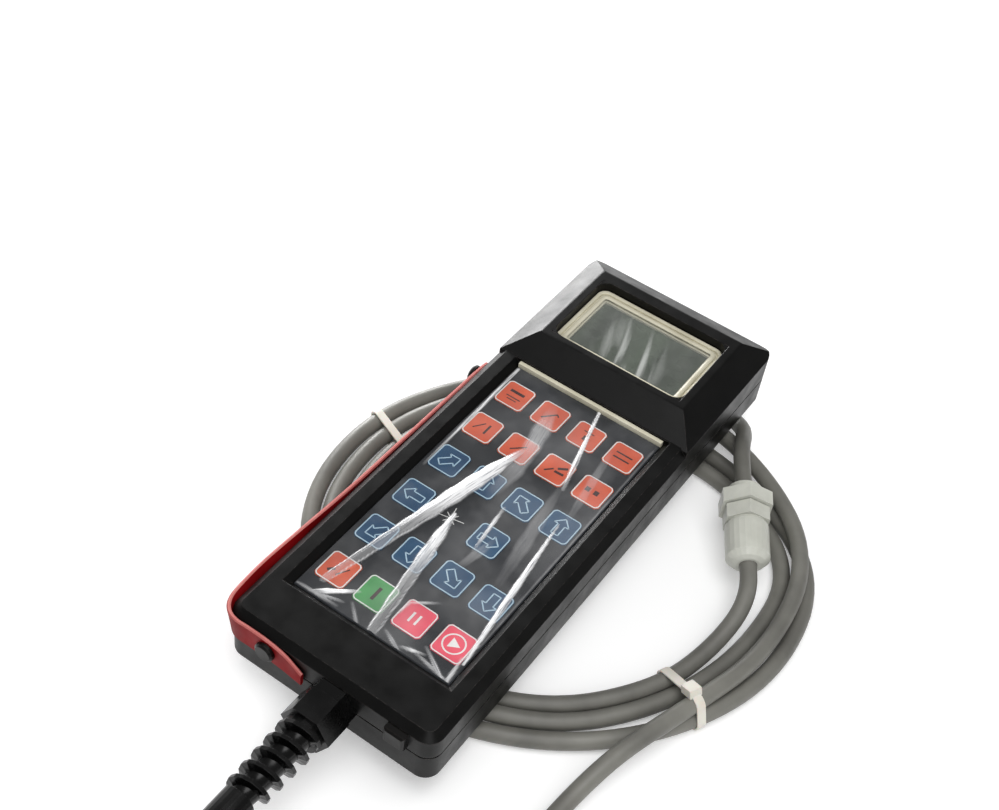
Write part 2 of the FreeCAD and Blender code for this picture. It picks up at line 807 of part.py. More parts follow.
def make_display():
    """Stepped display frame, lens, LCD glass and the board behind it."""
    bezel = new_body("display_bezel", y=sz.display_y)
    frame = sketch_on(bezel, "XY_Plane", bezel_under)
    half = sz.bezel_width / 2
    reach = sz.bezel_length / 2
    rectangle(frame, -half, -reach, half, reach)
    pad(bezel, frame, sz.bezel_thick)
    for inset, level, depth in (
        (sz.bezel_border, sz.bezel_top, sz.lens_seat),
        (sz.bezel_border + sz.bezel_step, sz.bezel_top - sz.lens_seat, sz.bezel_thick),
    ):
        opening = sketch_on(bezel, "XY_Plane", level)
        rectangle(opening, -half + inset, -reach + inset, half - inset, reach - inset)
        pocket(bezel, opening, depth)
    lens = new_body("display_lens", y=sz.display_y)
    lens_sketch = sketch_on(lens, "XY_Plane", sz.bezel_top - sz.lens_seat)
    inset = sz.bezel_border + sz.fit_play
    rectangle(lens_sketch, -half + inset, -reach + inset, half - inset, reach - inset)
    pad(lens, lens_sketch, sz.lens_thick)
    glass = new_body("lcd_glass", y=sz.display_y)
    glass_sketch = sketch_on(glass, "XY_Plane", head_ceiling)
    half = sz.glass_width / 2
    reach = sz.glass_length / 2
    rectangle(glass_sketch, -half, -reach, half, reach)
    pad(glass, glass_sketch, sz.glass_thick)
    board = new_body("lcd_board", y=sz.display_y)
    board_sketch = sketch_on(board, "XY_Plane", head_ceiling)
    half = sz.lcd_board_width / 2
    reach = sz.lcd_board_length / 2
    rectangle(board_sketch, -half, -reach, half, reach)
    pad(board, board_sketch, sz.board_thick, reverse=True)


def make_main_board():
    """Main board on its posts, with the headers for cable, keypad and display."""
    body = new_body("main_board")
    sketch = sketch_on(body, "XY_Plane", board_under)
    rectangle(sketch, -sz.board_width / 2, -sz.board_front, sz.board_width / 2, sz.board_rear)
    dots(sketch, post_places(), sz.post_screw_radius + sz.screw_play)
    pad(body, sketch, sz.board_thick)
    length = sz.header_length.value
    width = sz.header_width.value
    gap = sz.post_inset.value
    middles = (-sz.board_front.value + gap, sz.neck_y.value - gap, sz.display_y.value)
    headers = []
    for middle in middles:
        corner = Vector(-width / 2, middle - length / 2, board_top.value)
        headers.append(Part.makeBox(width, length, sz.header_height.value, corner))
    computed("board_headers", Part.makeCompound(headers))


def make_gland():
    """Cable gland on the lower end: body, nut, seal and inner locknut."""
    front = sz.case_front
    body = new_body("gland_body", x=sz.gland_aside, z=gland_level)
    flange = sketch_on(body, "XZ_Plane", front)
    hexagon(flange, sz.gland_flats)
    pad(body, flange, sz.gland_flange)
    thread = sketch_on(body, "XZ_Plane", front)
    ring(thread, sz.gland_thread)
    pad(body, thread, sz.gland_thread_reach, reverse=True)
    neck = sketch_on(body, "XZ_Plane", front + sz.gland_flange)
    ring(neck, sz.gland_neck)
    pad(body, neck, sz.gland_neck_length)
    hole = sketch_on(body, "XZ_Plane", front - sz.gland_thread_reach)
    ring(hole, sz.gland_bore)
    pocket(body, hole, sz.gland_thread_reach + sz.gland_flange + sz.gland_neck_length + OVER, reverse=True)
    nut = new_body("gland_nut", x=sz.gland_aside, z=gland_level)
    start = front + sz.gland_flange + sz.gland_play
    outside = sketch_on(nut, "XZ_Plane", start)
    hexagon(outside, sz.gland_nut_flats)
    pad(nut, outside, sz.gland_nut_length)
    chamber = sketch_on(nut, "XZ_Plane", start)
    ring(chamber, sz.gland_neck + sz.gland_play)
    pocket(nut, chamber, sz.gland_nut_length - sz.gland_nut_wall, reverse=True)
    hole = sketch_on(nut, "XZ_Plane", start)
    ring(hole, sz.gland_bore)
    pocket(nut, hole, sz.gland_nut_length + OVER, reverse=True)
    seal = new_body("gland_seal", x=sz.gland_aside, z=gland_level)
    seal_start = front + sz.gland_flange + sz.gland_neck_length + sz.gland_play
    washer = sketch_on(seal, "XZ_Plane", seal_start)
    ring(washer, sz.gland_neck - sz.gland_play, sz.cable_radius + sz.gland_play)
    pad(seal, washer, start + sz.gland_nut_length - sz.gland_nut_wall - seal_start - sz.gland_play)
    locknut = new_body("gland_locknut", x=sz.gland_aside, z=gland_level)
    inner_nut = sketch_on(locknut, "XZ_Plane", front - sz.wall)
    hexagon(inner_nut, sz.inner_nut_flats)
    ring(inner_nut, sz.gland_thread + sz.gland_play / 2)
    pad(locknut, inner_nut, sz.inner_nut_thick, reverse=True)


def relief_start():
    """Distance of the bend relief's foot from the middle of the key grid."""
    return sz.case_front + sz.gland_flange + sz.gland_play + sz.gland_nut_length


def relief_end():
    """Distance of the bend relief's far end from the middle of the key grid."""
    return relief_start() + sz.relief_length + sz.relief_tail_length


def facet(*corners):
    """Flat face through its corners."""
    return Part.Face(Part.makePolygon(list(corners) + [corners[0]]))


def spiral_fin():
    """The wound fin of the bend relief, standing on zero along Z and tapering towards its tip."""
    width = sz.relief_fin_width.value
    lean = (width - sz.relief_tip_width.value) / 2
    rise = sz.relief_length.value - width
    count = round(SPIRAL_STEPS * rise / sz.relief_pitch.value)
    sections = []
    for step in range(count + 1):
        turn = 2 * math.pi * step / SPIRAL_STEPS
        low = rise * step / count
        share = 1 - sz.relief_taper.value * step / count
        root = sz.relief_root.value * share
        fin = sz.relief_fin.value * share
        outline = [(root, low), (root, low + width), (fin, low + width - lean), (fin, low + lean)]
        across, along = math.cos(turn), math.sin(turn)
        sections.append([Vector(radius * across, radius * along, level) for radius, level in outline])
    faces = [facet(*sections[0]), facet(*sections[-1])]
    for this, after in zip(sections, sections[1:]):
        for corner in range(len(this)):
            near_edge = this[corner - 1], this[corner]
            far_edge = after[corner - 1], after[corner]
            faces.append(facet(near_edge[0], near_edge[1], far_edge[1]))
            faces.append(facet(near_edge[0], far_edge[1], far_edge[0]))
    fin = Part.makeSolid(Part.makeShell(faces))
    if fin.Volume < 0:
        fin.reverse()
    return fin


def make_bend_relief():
    """Spiral bend relief: a tapering fin wound freely round the cable between two collars."""
    bore = sz.gland_bore.value
    end = (sz.relief_length + sz.relief_tail_length).value
    tail_low = (sz.relief_length - sz.relief_fin_width / 2).value
    fin = spiral_fin()
    collars = []
    for radius, low, high in (
        (sz.relief_collar.value, 0, sz.relief_collar_length.value),
        (sz.relief_tail.value, tail_low, end),
    ):
        collar = sided_solid([(radius, low), (radius, high)], ROUND_SIDES)
        collars.append(collar.cut(sided_solid([(bore, low), (bore, high)], ROUND_SIDES)))
    laps = sum(collar.common(fin).Volume for collar in collars)
    relief = fin.fuse(collars)
    expected = fin.Volume + sum(collar.Volume for collar in collars) - laps
    if len(relief.Solids) != 1 or abs(relief.Volume / expected - 1) > VOLUME_SLACK:
        raise RuntimeError("the bend relief is not one sound solid")
    place = Vector(sz.gland_aside.value, -relief_start().value, gland_level.value)
    computed("bend_relief", standing(relief.Solids[0], place, Vector(0, -1, 0)))


def make_end_plug():
    """Small plug that closes the second strap hole on the lower end."""
    body = new_body("end_plug")
    sketch = sketch_on(body, "XZ_Plane", sz.case_front)
    half = sz.plug_width / 2
    rise = sz.plug_height / 2
    rectangle(sketch, sz.plug_x - half, -sz.strap_drop - rise, sz.plug_x + half, -sz.strap_drop + rise)
    pad(body, sketch, sz.plug_depth)
    edges = edges_where(body, lambda spot: near(spot.y, -sz.case_front - sz.plug_depth))
    bevel_edges(body, edges, sz.plug_depth / 4)


def rounded_route(points, name):
    """Straight runs joined by tangent arcs as large as the runs allow."""
    points = [Vector(*point) for point in points]
    edges = []
    start = points[0]
    for before, corner, after in zip(points, points[1:], points[2:]):
        inward = before - corner
        outward = after - corner
        cut = ARC_SHARE * min(inward.Length, outward.Length)
        turn = math.pi - inward.getAngle(outward)
        radius = cut / math.tan(turn / 2)
        print("%s: turn %.0f deg, radius %.1f" % (name, math.degrees(turn), radius))
        inward.normalize()
        outward.normalize()
        first = corner + inward * cut
        last = corner + outward * cut
        towards = inward + outward
        towards.normalize()
        middle = corner + towards * (radius / math.cos(turn / 2) - radius)
        edges.append(Part.LineSegment(start, first).toShape())
        edges.append(Part.Arc(first, middle, last).toShape())
        start = last
    edges.append(Part.LineSegment(start, points[-1]).toShape())
    return Part.Wire(edges)


def swept(section, route, name):
    """A section swept along a route, with its volume compared with area times length."""
    solid = route.makePipeShell([section], True, False)
    area = Part.Face(section).Area
    if abs(solid.Volume / (area * route.Length) - 1) > VOLUME_SLACK:
        raise RuntimeError("%s has volume %.1f for %.1f" % (name, solid.Volume, area * route.Length))
    return solid


def cable_tube(points, name):
    """Cable of few sides along a route of points."""
    route = rounded_route(points, name)
    start = Vector(*points[0])
    outline = sided_wire(sz.cable_radius.value, 0, CABLE_SIDES)
    return swept(standing(outline, start, Vector(*points[1]) - start), route, name)


def make_cable():
    """The cable: straight stub in the gland, lead, coil with its ties, tail and bare conductors."""
    stub = new_body("cable_stub", x=sz.gland_aside, z=gland_level)
    sketch = sketch_on(stub, "XZ_Plane", sz.cable_inside)
    ring(sketch, sz.cable_radius)
    pad(stub, sketch, relief_end() - sz.cable_inside)
    leave = (sz.gland_aside.value, -relief_end().value, gland_level.value)
    near_box = [tuple(map(operator.add, leave, step)) for step in LEAD_FROM_RELIEF]
    computed("cable_lead", cable_tube([leave] + near_box + LEAD_ON_TABLE, "lead"))
    computed("cable_tail", cable_tube(TAIL_POINTS, "tail"))
    make_conductors()
    make_coil()


def make_conductors():
    """Bare conductors at the end of the tail, one in the middle and a ring round it."""
    last = Vector(*TAIL_POINTS[-1])
    along = last - Vector(*TAIL_POINTS[-2])
    radius = sz.wire_radius.value
    circle_radius = sz.cable_radius.value * WIRE_CIRCLE
    turns = [2 * math.pi * number / WIRE_RING for number in range(WIRE_RING)]
    places = [(0, 0)] + [(circle_radius * math.cos(turn), circle_radius * math.sin(turn)) for turn in turns]
    profile = [(radius, 0), (radius, sz.wire_length.value)]
    wires = [sided_solid(profile, WIRE_SIDES, x, y) for x, y in places]
    computed("cable_wires", Part.makeCompound([standing(wire, last, along) for wire in wires]))


def coil_solid(inset):
    """The coil's outer shape, drawn in by an inset on every side."""
    low = floor_level.value + inset
    high = floor_level.value + sz.coil_height.value - inset
    bevel = sz.coil_bevel.value - inset * BEVEL_SHARE
    outer = sz.coil_radius.value - inset
    hole = (sz.coil_radius - (sz.coil_widest + sz.coil_narrowest) / 2).value + inset
    offset = (sz.coil_widest - sz.coil_narrowest).value / 2
    lean = math.radians(sz.coil_lean.value)
    x, y = sz.coil_x.value, sz.coil_y.value
    levels = ((bevel, low), (0, low + bevel), (0, high - bevel), (bevel, high))
    disc = sided_solid([(outer - drawn, level) for drawn, level in levels], COIL_SIDES, x, y)
    hole_x = x + offset * math.cos(lean)
    hole_y = y + offset * math.sin(lean)
    gap = sided_solid([(hole + drawn, level) for drawn, level in levels], COIL_SIDES, hole_x, hole_y)
    return disc.cut(gap).Solids[0]


def make_coil():
    """Coil of several turns, pinched by two ties."""
    whole = coil_solid(0.0)
    core = coil_solid(sz.tie_thick.value)
    middle = Vector(sz.coil_x.value, sz.coil_y.value, floor_level.value)
    reach, rise = sz.coil_radius.value, sz.coil_height.value
    width, head = sz.tie_width.value, sz.tie_head.value
    inner = reach - sz.coil_bevel.value - head
    over = OVER.value
    strip = Part.makeBox(reach + over, width, rise + over * 2, Vector(0, -width / 2, -over))
    block = Part.makeBox(head, head, sz.tie_head_rise.value, Vector(inner, -head / 2, rise))
    ties = []
    for angle in TIE_ANGLES:
        turn = Placement(middle, Rotation(Vector(0, 0, 1), angle))
        band = whole.common(strip.transformed(turn.Matrix)).cut(core).Solids[0]
        ties.append(band.fuse(block.transformed(turn.Matrix)).removeSplitter().Solids[0])
        whole = whole.cut(band).Solids[0]
    computed("cable_coil", whole)
    computed("cable_ties", Part.makeCompound(ties))


def panel_gland_place():
    """Foot of the panel gland's dome and its direction along the cable."""
    start = Vector(*TAIL_POINTS[GLAND_RUN[0]])
    along = Vector(*TAIL_POINTS[GLAND_RUN[1]]) - start
    along.normalize()
    return start + along * GLAND_RUN_START, along


def seat_on_cable(body, offset):
    """Place a body so that its Z axis runs along the cable, an offset up from the dome's foot."""
    foot, along = panel_gland_place()
    at = foot + along * offset.value + Vector(*[part.value for part in shift])
    for axis in "xyz":
        body.setExpression("Placement.Base." + axis, None)
    body.Placement = Placement(at, Rotation(Vector(0, 0, 1), along))


def make_panel_gland():
    """Panel gland on the cable: dome nut, hexagon body with thread, seal and locknut."""
    foot_wall = sz.gland_nut_wall + sz.panel_dome_bevel
    bore = sz.cable_radius + sz.gland_play
    dome = new_body("panel_gland_dome")
    seat_on_cable(dome, ZERO)
    outline = sketch_on(dome, "XY_Plane")
    ring(outline, sz.panel_dome_radius)
    pad(dome, outline, sz.panel_dome_length)
    for bevel in (sz.panel_dome_bevel, sz.panel_dome_edge):
        bevel_edges(dome, edges_where(dome, lambda spot: near(spot.z, ZERO)), bevel)
    chamber = sketch_on(dome, "XY_Plane", sz.panel_dome_length)
    ring(chamber, sz.gland_neck + sz.gland_play)
    pocket(dome, chamber, sz.panel_dome_length - foot_wall)
    hole = sketch_on(dome, "XY_Plane", sz.panel_dome_length)
    ring(hole, bore)
    pocket(dome, hole, sz.panel_dome_length + OVER)
    body = new_body("panel_gland_body")
    body_start = sz.panel_dome_length + sz.gland_play
    seat_on_cable(body, body_start)
    groove = sketch_on(body, "XY_Plane")
    ring(groove, sz.panel_groove_radius)
    pad(body, groove, sz.panel_groove)
    flange = sketch_on(body, "XY_Plane", sz.panel_groove)
    hexagon(flange, sz.gland_flats)
    pad(body, flange, sz.panel_hex_length)
    thread_start = sz.panel_groove + sz.panel_hex_length
    thread = sketch_on(body, "XY_Plane", thread_start)
    ring(thread, sz.gland_thread)
    pad(body, thread, sz.panel_thread_length)
    neck = sketch_on(body, "XY_Plane")
    ring(neck, sz.gland_neck)
    pad(body, neck, sz.gland_neck_length, reverse=True)
    hole = sketch_on(body, "XY_Plane", thread_start + sz.panel_thread_length)
    ring(hole, bore)
    pocket(body, hole, thread_start + sz.panel_thread_length + sz.gland_neck_length + OVER)
    seal = new_body("panel_gland_seal")
    seal_low = foot_wall + sz.gland_play
    seat_on_cable(seal, seal_low)
    washer = sketch_on(seal, "XY_Plane")
    ring(washer, sz.gland_neck - sz.gland_play, bore)
    pad(seal, washer, body_start - sz.gland_neck_length - seal_low - sz.gland_play)
    locknut = new_body("panel_locknut")
    seat_on_cable(locknut, body_start + thread_start + sz.panel_nut_gap)
    nut = sketch_on(locknut, "XY_Plane")
    hexagon(nut, sz.panel_nut_flats)
    ring(nut, sz.gland_thread + sz.gland_play / 2)
    pad(locknut, nut, sz.panel_nut_thick)


def make_strap():
    """Hand strap: a flat band from the lower end, round the corner and along the side to the neck."""
    out = (strap_side - sz.strap_thick / 2 - sz.strap_seat).value
    front = -(strap_front - sz.strap_thick / 2 - sz.strap_seat).value
    level = -sz.strap_drop.value
    bow = sz.strap_gap.value
    corner = front + sz.strap_corner_run.value
    seat = (sz.strap_upper_y - sz.stud_radius * 2).value
    points = [(-sz.strap_end_x.value, front, level), (-out - bow * STRAP_CORNER_SHARE, front, level)]
    points += [(-out - bow * share, corner + (seat - corner) * along, level) for share, along in STRAP_BOW]
    points += [(-out, seat, level), (-out, sz.strap_end_y.value, level)]
    route = rounded_route(points, "strap")
    half = sz.strap_thick.value / 2
    rise = sz.strap_width.value / 2
    start = Vector(*points[0])
    outline = ((-half, -rise), (half, -rise), (half, rise), (-half, rise))
    corners = [start + Vector(0, across, up) for across, up in outline]
    band = swept(Part.makePolygon(corners + corners[:1]), route, "strap")
    hole = sz.stud_shank.value + sz.stud_play.value
    deep = sz.strap_thick.value * 4
    low = Vector(-sz.strap_lower_x.value, front - deep / 2, level)
    high = Vector(-out - deep / 2, sz.strap_upper_y.value, level)
    band = band.cut(Part.makeCylinder(hole, deep, low, Vector(0, 1, 0)))
    band = band.cut(Part.makeCylinder(hole, deep, high, Vector(1, 0, 0)))
    computed("hand_strap", band.Solids[0])


def main():
    make_upper_shell()
    make_lower_shell()
    make_case_seal()
    make_fasteners()
    make_keypad()
    for label, x, y in key_places():
        make_key(label, x, y)
    make_display()
    make_main_board()
    make_gland()
    make_bend_relief()
    make_end_plug()
    make_strap()
    make_cable()
    make_panel_gland()
    doc.recompute()
    failed = [item.Label for item in doc.Objects if "Invalid" in item.State or "Error" in item.State]
    failed += [label for label, item in subparts.items() if item.Shape.isNull() or not item.Shape.isValid()]
    failed += [label for label, item in subparts.items()
               if item.TypeId == "PartDesign::Body" and len(item.Shape.Solids) != 1]
    if failed:
        raise RuntimeError("failed: " + ", ".join(failed))
    os.makedirs("parts", exist_ok=True)
    for label, item in subparts.items():
        item.Shape.exportStep("parts/%s.step" % label)
    print("%d sub-parts written" % len(subparts))


main()
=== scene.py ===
import math

import bmesh
import bpy
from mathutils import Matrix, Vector


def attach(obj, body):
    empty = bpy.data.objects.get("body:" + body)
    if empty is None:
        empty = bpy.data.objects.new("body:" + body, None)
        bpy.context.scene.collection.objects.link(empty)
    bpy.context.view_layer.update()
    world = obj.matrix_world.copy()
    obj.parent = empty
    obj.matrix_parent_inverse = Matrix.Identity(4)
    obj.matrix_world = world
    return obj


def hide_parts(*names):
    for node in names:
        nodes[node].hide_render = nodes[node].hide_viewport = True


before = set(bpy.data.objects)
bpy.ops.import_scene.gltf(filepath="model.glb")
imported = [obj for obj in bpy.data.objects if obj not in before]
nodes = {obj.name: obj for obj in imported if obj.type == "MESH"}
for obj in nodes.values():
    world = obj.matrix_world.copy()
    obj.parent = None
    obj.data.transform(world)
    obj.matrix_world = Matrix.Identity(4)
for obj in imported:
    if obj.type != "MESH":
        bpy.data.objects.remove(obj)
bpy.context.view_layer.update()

# Places below are in millimetres from the drawing's origin, the middle of the keypad.

MM = 0.001
ORIGIN = Vector((3.0, -26.8, 7.0))
FLOOR = -39.4
# Signs of x and y at the corners of a rectangle, going round it.
CORNERS = ((1, 1), (-1, 1), (-1, -1), (1, -1))


def at(x, y, z):
    """A place in the drawing, in the frame's metres."""
    return (Vector((x, y, z)) + ORIGIN) * MM


def between(values, share):
    """The value at a share of the way along a row of values."""
    place = share * (len(values) - 1)
    first = min(int(place), len(values) - 2)
    return values[first] + (values[first + 1] - values[first]) * (place - first)


# Pieces: most meshes are rings of points, each a loop that is joined to the next

def ring_faces(rings, count, closed=False):
    """Faces that join rings of as many points in their order, and the last to the first where closed."""
    faces = []
    for ring in range(rings if closed else rings - 1):
        here = count * ring
        after = count * ((ring + 1) % rings)
        for step in range(count):
            ahead = (step + 1) % count
            faces.append((here + step, here + ahead, after + ahead, after + step))
    return faces


def tube_faces(rings, count, first=0):
    """Faces of a tube of rings with both ends closed, from the number of its first point on."""
    faces = ring_faces(rings, count)
    faces.append(tuple(range(count)))
    faces.append(tuple(range((rings - 1) * count, rings * count)))
    return [tuple(first + corner for corner in face) for face in faces]


def face_outward(mesh):
    """Turns every face of a closed mesh to the outside."""
    work = bmesh.new()
    work.from_mesh(mesh)
    bmesh.ops.recalc_face_normals(work, faces=work.faces)
    work.to_mesh(mesh)
    work.free()


def add_object(name, data):
    """A new object in the scene."""
    made = bpy.data.objects.new(name, data)
    bpy.context.scene.collection.objects.link(made)
    return made


def mesh_piece(name, points, faces, body, material, closed=True):
    """A new mesh piece that rides on a body; its points are in the frame's metres."""
    mesh = bpy.data.meshes.new(name)
    mesh.from_pydata([tuple(point) for point in points], [], faces)
    mesh.update()
    if closed:
        face_outward(mesh)
    piece = add_object(name, mesh)
    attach(piece, body)
    mesh.materials.append(material)
    return piece


# Camera

CAMERA_PLACE = (0.20492, -0.39773, 0.51347)
CAMERA_TURN = (43.396, -5.834, 34.870)
CAMERA_LENS = 56.94
SENSOR_WIDTH = 36


def make_camera():
    data = bpy.data.cameras.new("camera")
    data.lens = CAMERA_LENS
    data.sensor_width = SENSOR_WIDTH
    data.sensor_fit = "HORIZONTAL"
    camera = add_object("camera", data)
    camera.location = CAMERA_PLACE
    camera.rotation_euler = [math.radians(angle) for angle in CAMERA_TURN]
    bpy.context.scene.camera = camera


# Cable: one spline from the bend relief, round the coil and out through the panel gland

CABLE_RADIUS = 3.8
CABLE_STEPS = 10
CABLE_ROUNDNESS = 6
CABLE_EXIT = (4, -173.65, -10.4)
LEAD = [
    (4, -193, -10.4), (4.8, -215, -16.5), (9, -239, -27), (23, -260, -33.5), (48, -272, -35.4),
    (73, -264, -35.4), (89, -240, -35.4), (94, -207, -35.4), (93, -166, -35.4), (91.5, -122, -35.4),
    (92, -88, -35), (95, -64, -31.5), (100, -44, -27),
]
TAIL = [
    (102.6, 22, -33.4), (105.2, 49.3, -24.3), (91.5, 71.3, -21.7), (77.8, 93.2, -19.1), (62.8, 114.5, -15.3),
    (56.7, 133.9, -24.2), (49.7, 143.7, -31), (37.4, 151, -35.7), (21.2, 155.5, -35.2), (6, 157, -35.4),
]
COIL_MIDDLE = (20.5, 34)
COIL_START = -30
STEPS_A_TURN = 12
# How far each turn is from the coil's middle, every 30 degrees from its start.
TURN_RADII = [
    [98.5, 99.4, 106, 101, 104, 97.5, 98.5, 105.5, 111.5, 108, 108.6, 101.8],
    [101.5, 106.6, 111, 94.5, 86, 91.5, 90.5, 96.5, 103, 101.5, 100.4, 93.9],
    [89.6, 91, 101, 86.5, 74, 80, 81.5, 87.5, 94, 96, 91.8, 85.6],
    [81.5],
]
# How far each turn is lifted off the floor there, by a tie under it or by the turns that it lies on.
TURN_LIFTS = [
    [8.7, 6.2, 9.2, 6.4, 0.6, 0, 0, 1.2, 0, 0, 0, 0],
    [1.2, 0, 0, 0, 0.5, 6.6, 0, 1.2, 0, 6.6, 3.5, 0],
    [1.2, 0, 0, 0, 0, 0, 0, 1.2, 0, 0, 0, 0],
    [1.2],
]
# The spline runs inside its points, so they stand a little further out.
OUTWARD = 1 / math.cos(math.pi / STEPS_A_TURN)


def coil_place(angle, radius, height):
    """A place at an angle round the coil, a radius from its middle and a height above the floor."""
    across = math.cos(math.radians(angle)) * radius
    along = math.sin(math.radians(angle)) * radius
    return (COIL_MIDDLE[0] + across, COIL_MIDDLE[1] + along, FLOOR + height)


def coil_points():
    points = []
    angle = COIL_START
    for radii, lifts in zip(TURN_RADII, TURN_LIFTS):
        for radius, lift in zip(radii, lifts):
            points.append(coil_place(angle, radius * OUTWARD, CABLE_RADIUS + lift))
            angle += 360 / STEPS_A_TURN
    return points


def make_cable():
    """The cable, and the points of its line in the drawing's millimetres."""
    curve = bpy.data.curves.new("cable", "CURVE")
    curve.dimensions = "3D"
    curve.resolution_u = CABLE_STEPS
    route = [CABLE_EXIT] + LEAD + coil_points() + TAIL
    spline = curve.splines.new("NURBS")
    spline.points.add(len(route) - 1)
    for point, place in zip(spline.points, route):
        point.co = (*at(*place), 1)
        point.radius = CABLE_RADIUS * MM
    spline.order_u = 3
    spline.use_endpoint_u = True
    cable = add_object("cable", curve)
    bare = bpy.data.meshes.new_from_object(cable)
    line = [vertex.co / MM - ORIGIN for vertex in bare.vertices]
    bpy.data.meshes.remove(bare)
    # A bevel of 1 gives each point its own radius.
    curve.bevel_depth = 1
    curve.bevel_resolution = CABLE_ROUNDNESS
    curve.use_fill_caps = True
    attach(cable, "box")
    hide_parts("cable_lead", "cable_coil", "cable_tail")
    return cable, line


# Cable ties: a band pulled tight round the strands at an angle of the coil, with a head

TIE_WIDTH = 4.2
TIE_THICK = 1.0
TIE_GAP = 0.05
TIE_EDGE = 0.3
TIE_EDGE_STEPS = 2
TIE_STEPS = 24
TIE_COUNT = 64
# A slanted tie is at its own angle of the coil at this distance from the coil's middle.
TIE_MIDDLE = 94
# Each tie: angle of the coil, slant, and its head's place (out, up), lean and size (out, along, up).
TIES = {
    "tie_1": (-24.5, 0, (96.9, 14.6), 21, (6.4, 6.0, 4.0)),
    "tie_2": (180, -0.415, (81.4, 3.6), 0, (3.4, 6.0, 5.0)),
}


def strands_at(line, angle):
    """Where the cable passes an angle of the coil, as (distance from the middle, height above the floor)."""
    turn = math.radians(angle)
    outward = Vector((math.cos(turn), math.sin(turn)))
    middle = Vector(COIL_MIDDLE)
    strands = []
    for first, second in zip(line, line[1:]):
        before = outward.cross(first.xy - middle)
        after = outward.cross(second.xy - middle)
        if before < 0 <= after and outward.dot(first.xy - middle) > 0:
            spot = first.lerp(second, before / (before - after))
            strands.append(((spot.xy - middle).length, spot.z - FLOOR))
    return strands


def turn_of(first, second, third):
    """Above nought where three points turn left."""
    to_second = (second[0] - first[0], second[1] - first[1])
    to_third = (third[0] - first[0], third[1] - first[1])
    return to_second[0] * to_third[1] - to_second[1] * to_third[0]


def taut_loop(strands, offset):
    """The loop of a band pulled tight round the strands, at an offset from their surface."""
    points = []
    reach = CABLE_RADIUS + offset
    for radius, height in strands:
        for step in range(TIE_STEPS):
            turn = 2 * math.pi * step / TIE_STEPS
            points.append((radius + reach * math.cos(turn), max(height + reach * math.sin(turn), TIE_GAP)))
    points = sorted(set(points))
    loop = []
    for row in (points, points[::-1]):
        chain = []
        for point in row:
            while len(chain) > 1 and turn_of(chain[-2], chain[-1], point) <= 0:
                chain.pop()
            chain.append(point)
        loop += chain[:-1]
    return loop


def evenly(loop, count):
    """The same closed loop with a number of points at even distances."""
    ends = loop[1:] + loop[:1]
    lengths = [math.dist(start, end) for start, end in zip(loop, ends)]
    total = sum(lengths)
    points = []
    side = 0
    passed = 0
    for step in range(count):
        goal = total * step / count
        while passed + lengths[side] < goal:
            passed += lengths[side]
            side += 1
        share = (goal - passed) / lengths[side]
        points.append([low + (high - low) * share for low, high in zip(loop[side], ends[side])])
    return points


def tie_place(angle, slant, out, up, aside):
    """A place on a tie: out from the coil's middle, up from the floor and aside along the cable."""
    turn = math.radians(angle)
    x, y, z = coil_place(angle, out, up)
    along = aside + slant * (out - TIE_MIDDLE)
    return at(x - math.sin(turn) * along, y + math.cos(turn) * along, z)


def make_tie(name, line, material):
    angle, slant, (out, up), lean, (wide, deep, tall) = TIES[name]
    strands = strands_at(line, angle)
    inner = evenly(taut_loop(strands, TIE_GAP), TIE_COUNT)
    outer = evenly(taut_loop(strands, TIE_THICK), TIE_COUNT)
    half = TIE_WIDTH / 2
    rings = ((-half, inner), (-half, outer), (half, outer), (half, inner))
    points = []
    for side, loop in rings:
        points += [tie_place(angle, slant, *place, side) for place in loop]
    heights = (0, tall)
    faces = ring_faces(len(rings), TIE_COUNT, closed=True)
    faces += tube_faces(len(heights), len(CORNERS), first=len(points))
    lean = math.radians(lean)
    for height in heights:
        for side_out, side_along in CORNERS:
            across = side_out * wide / 2
            head_out = out + across * math.cos(lean) - height * math.sin(lean)
            head_up = up + across * math.sin(lean) + height * math.cos(lean)
            points.append(tie_place(angle, slant, head_out, head_up, side_along * deep / 2))
    piece = mesh_piece(name, points, faces, "box", material)
    edge = piece.modifiers.new("edge", "BEVEL")
    edge.width = TIE_EDGE * MM
    edge.segments = TIE_EDGE_STEPS
    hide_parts("cable_ties")
    return piece


# Materials

SCREEN_WHITE = 255
SCREEN_GAMMA = 2.2
BEVEL_SAMPLES = 4
# The stretch in which most of a noise lies.
NOISE_MIDDLE = (0.3, 0.7)
# Dot product of a surface's direction and its rounded direction, away from an edge and on it.
EDGE_FACING = (0.995, 0.80)
# Numbers of a colour Mix node's sockets: its share and two colours, and its result.
MIX_INPUTS = (0, 6, 7)
MIX_RESULT = 2


def linear(colour):
    """A screen colour, 0 to 255, as the light values that nodes take."""
    return tuple((value / SCREEN_WHITE) ** SCREEN_GAMMA for value in colour) + (1.0,)


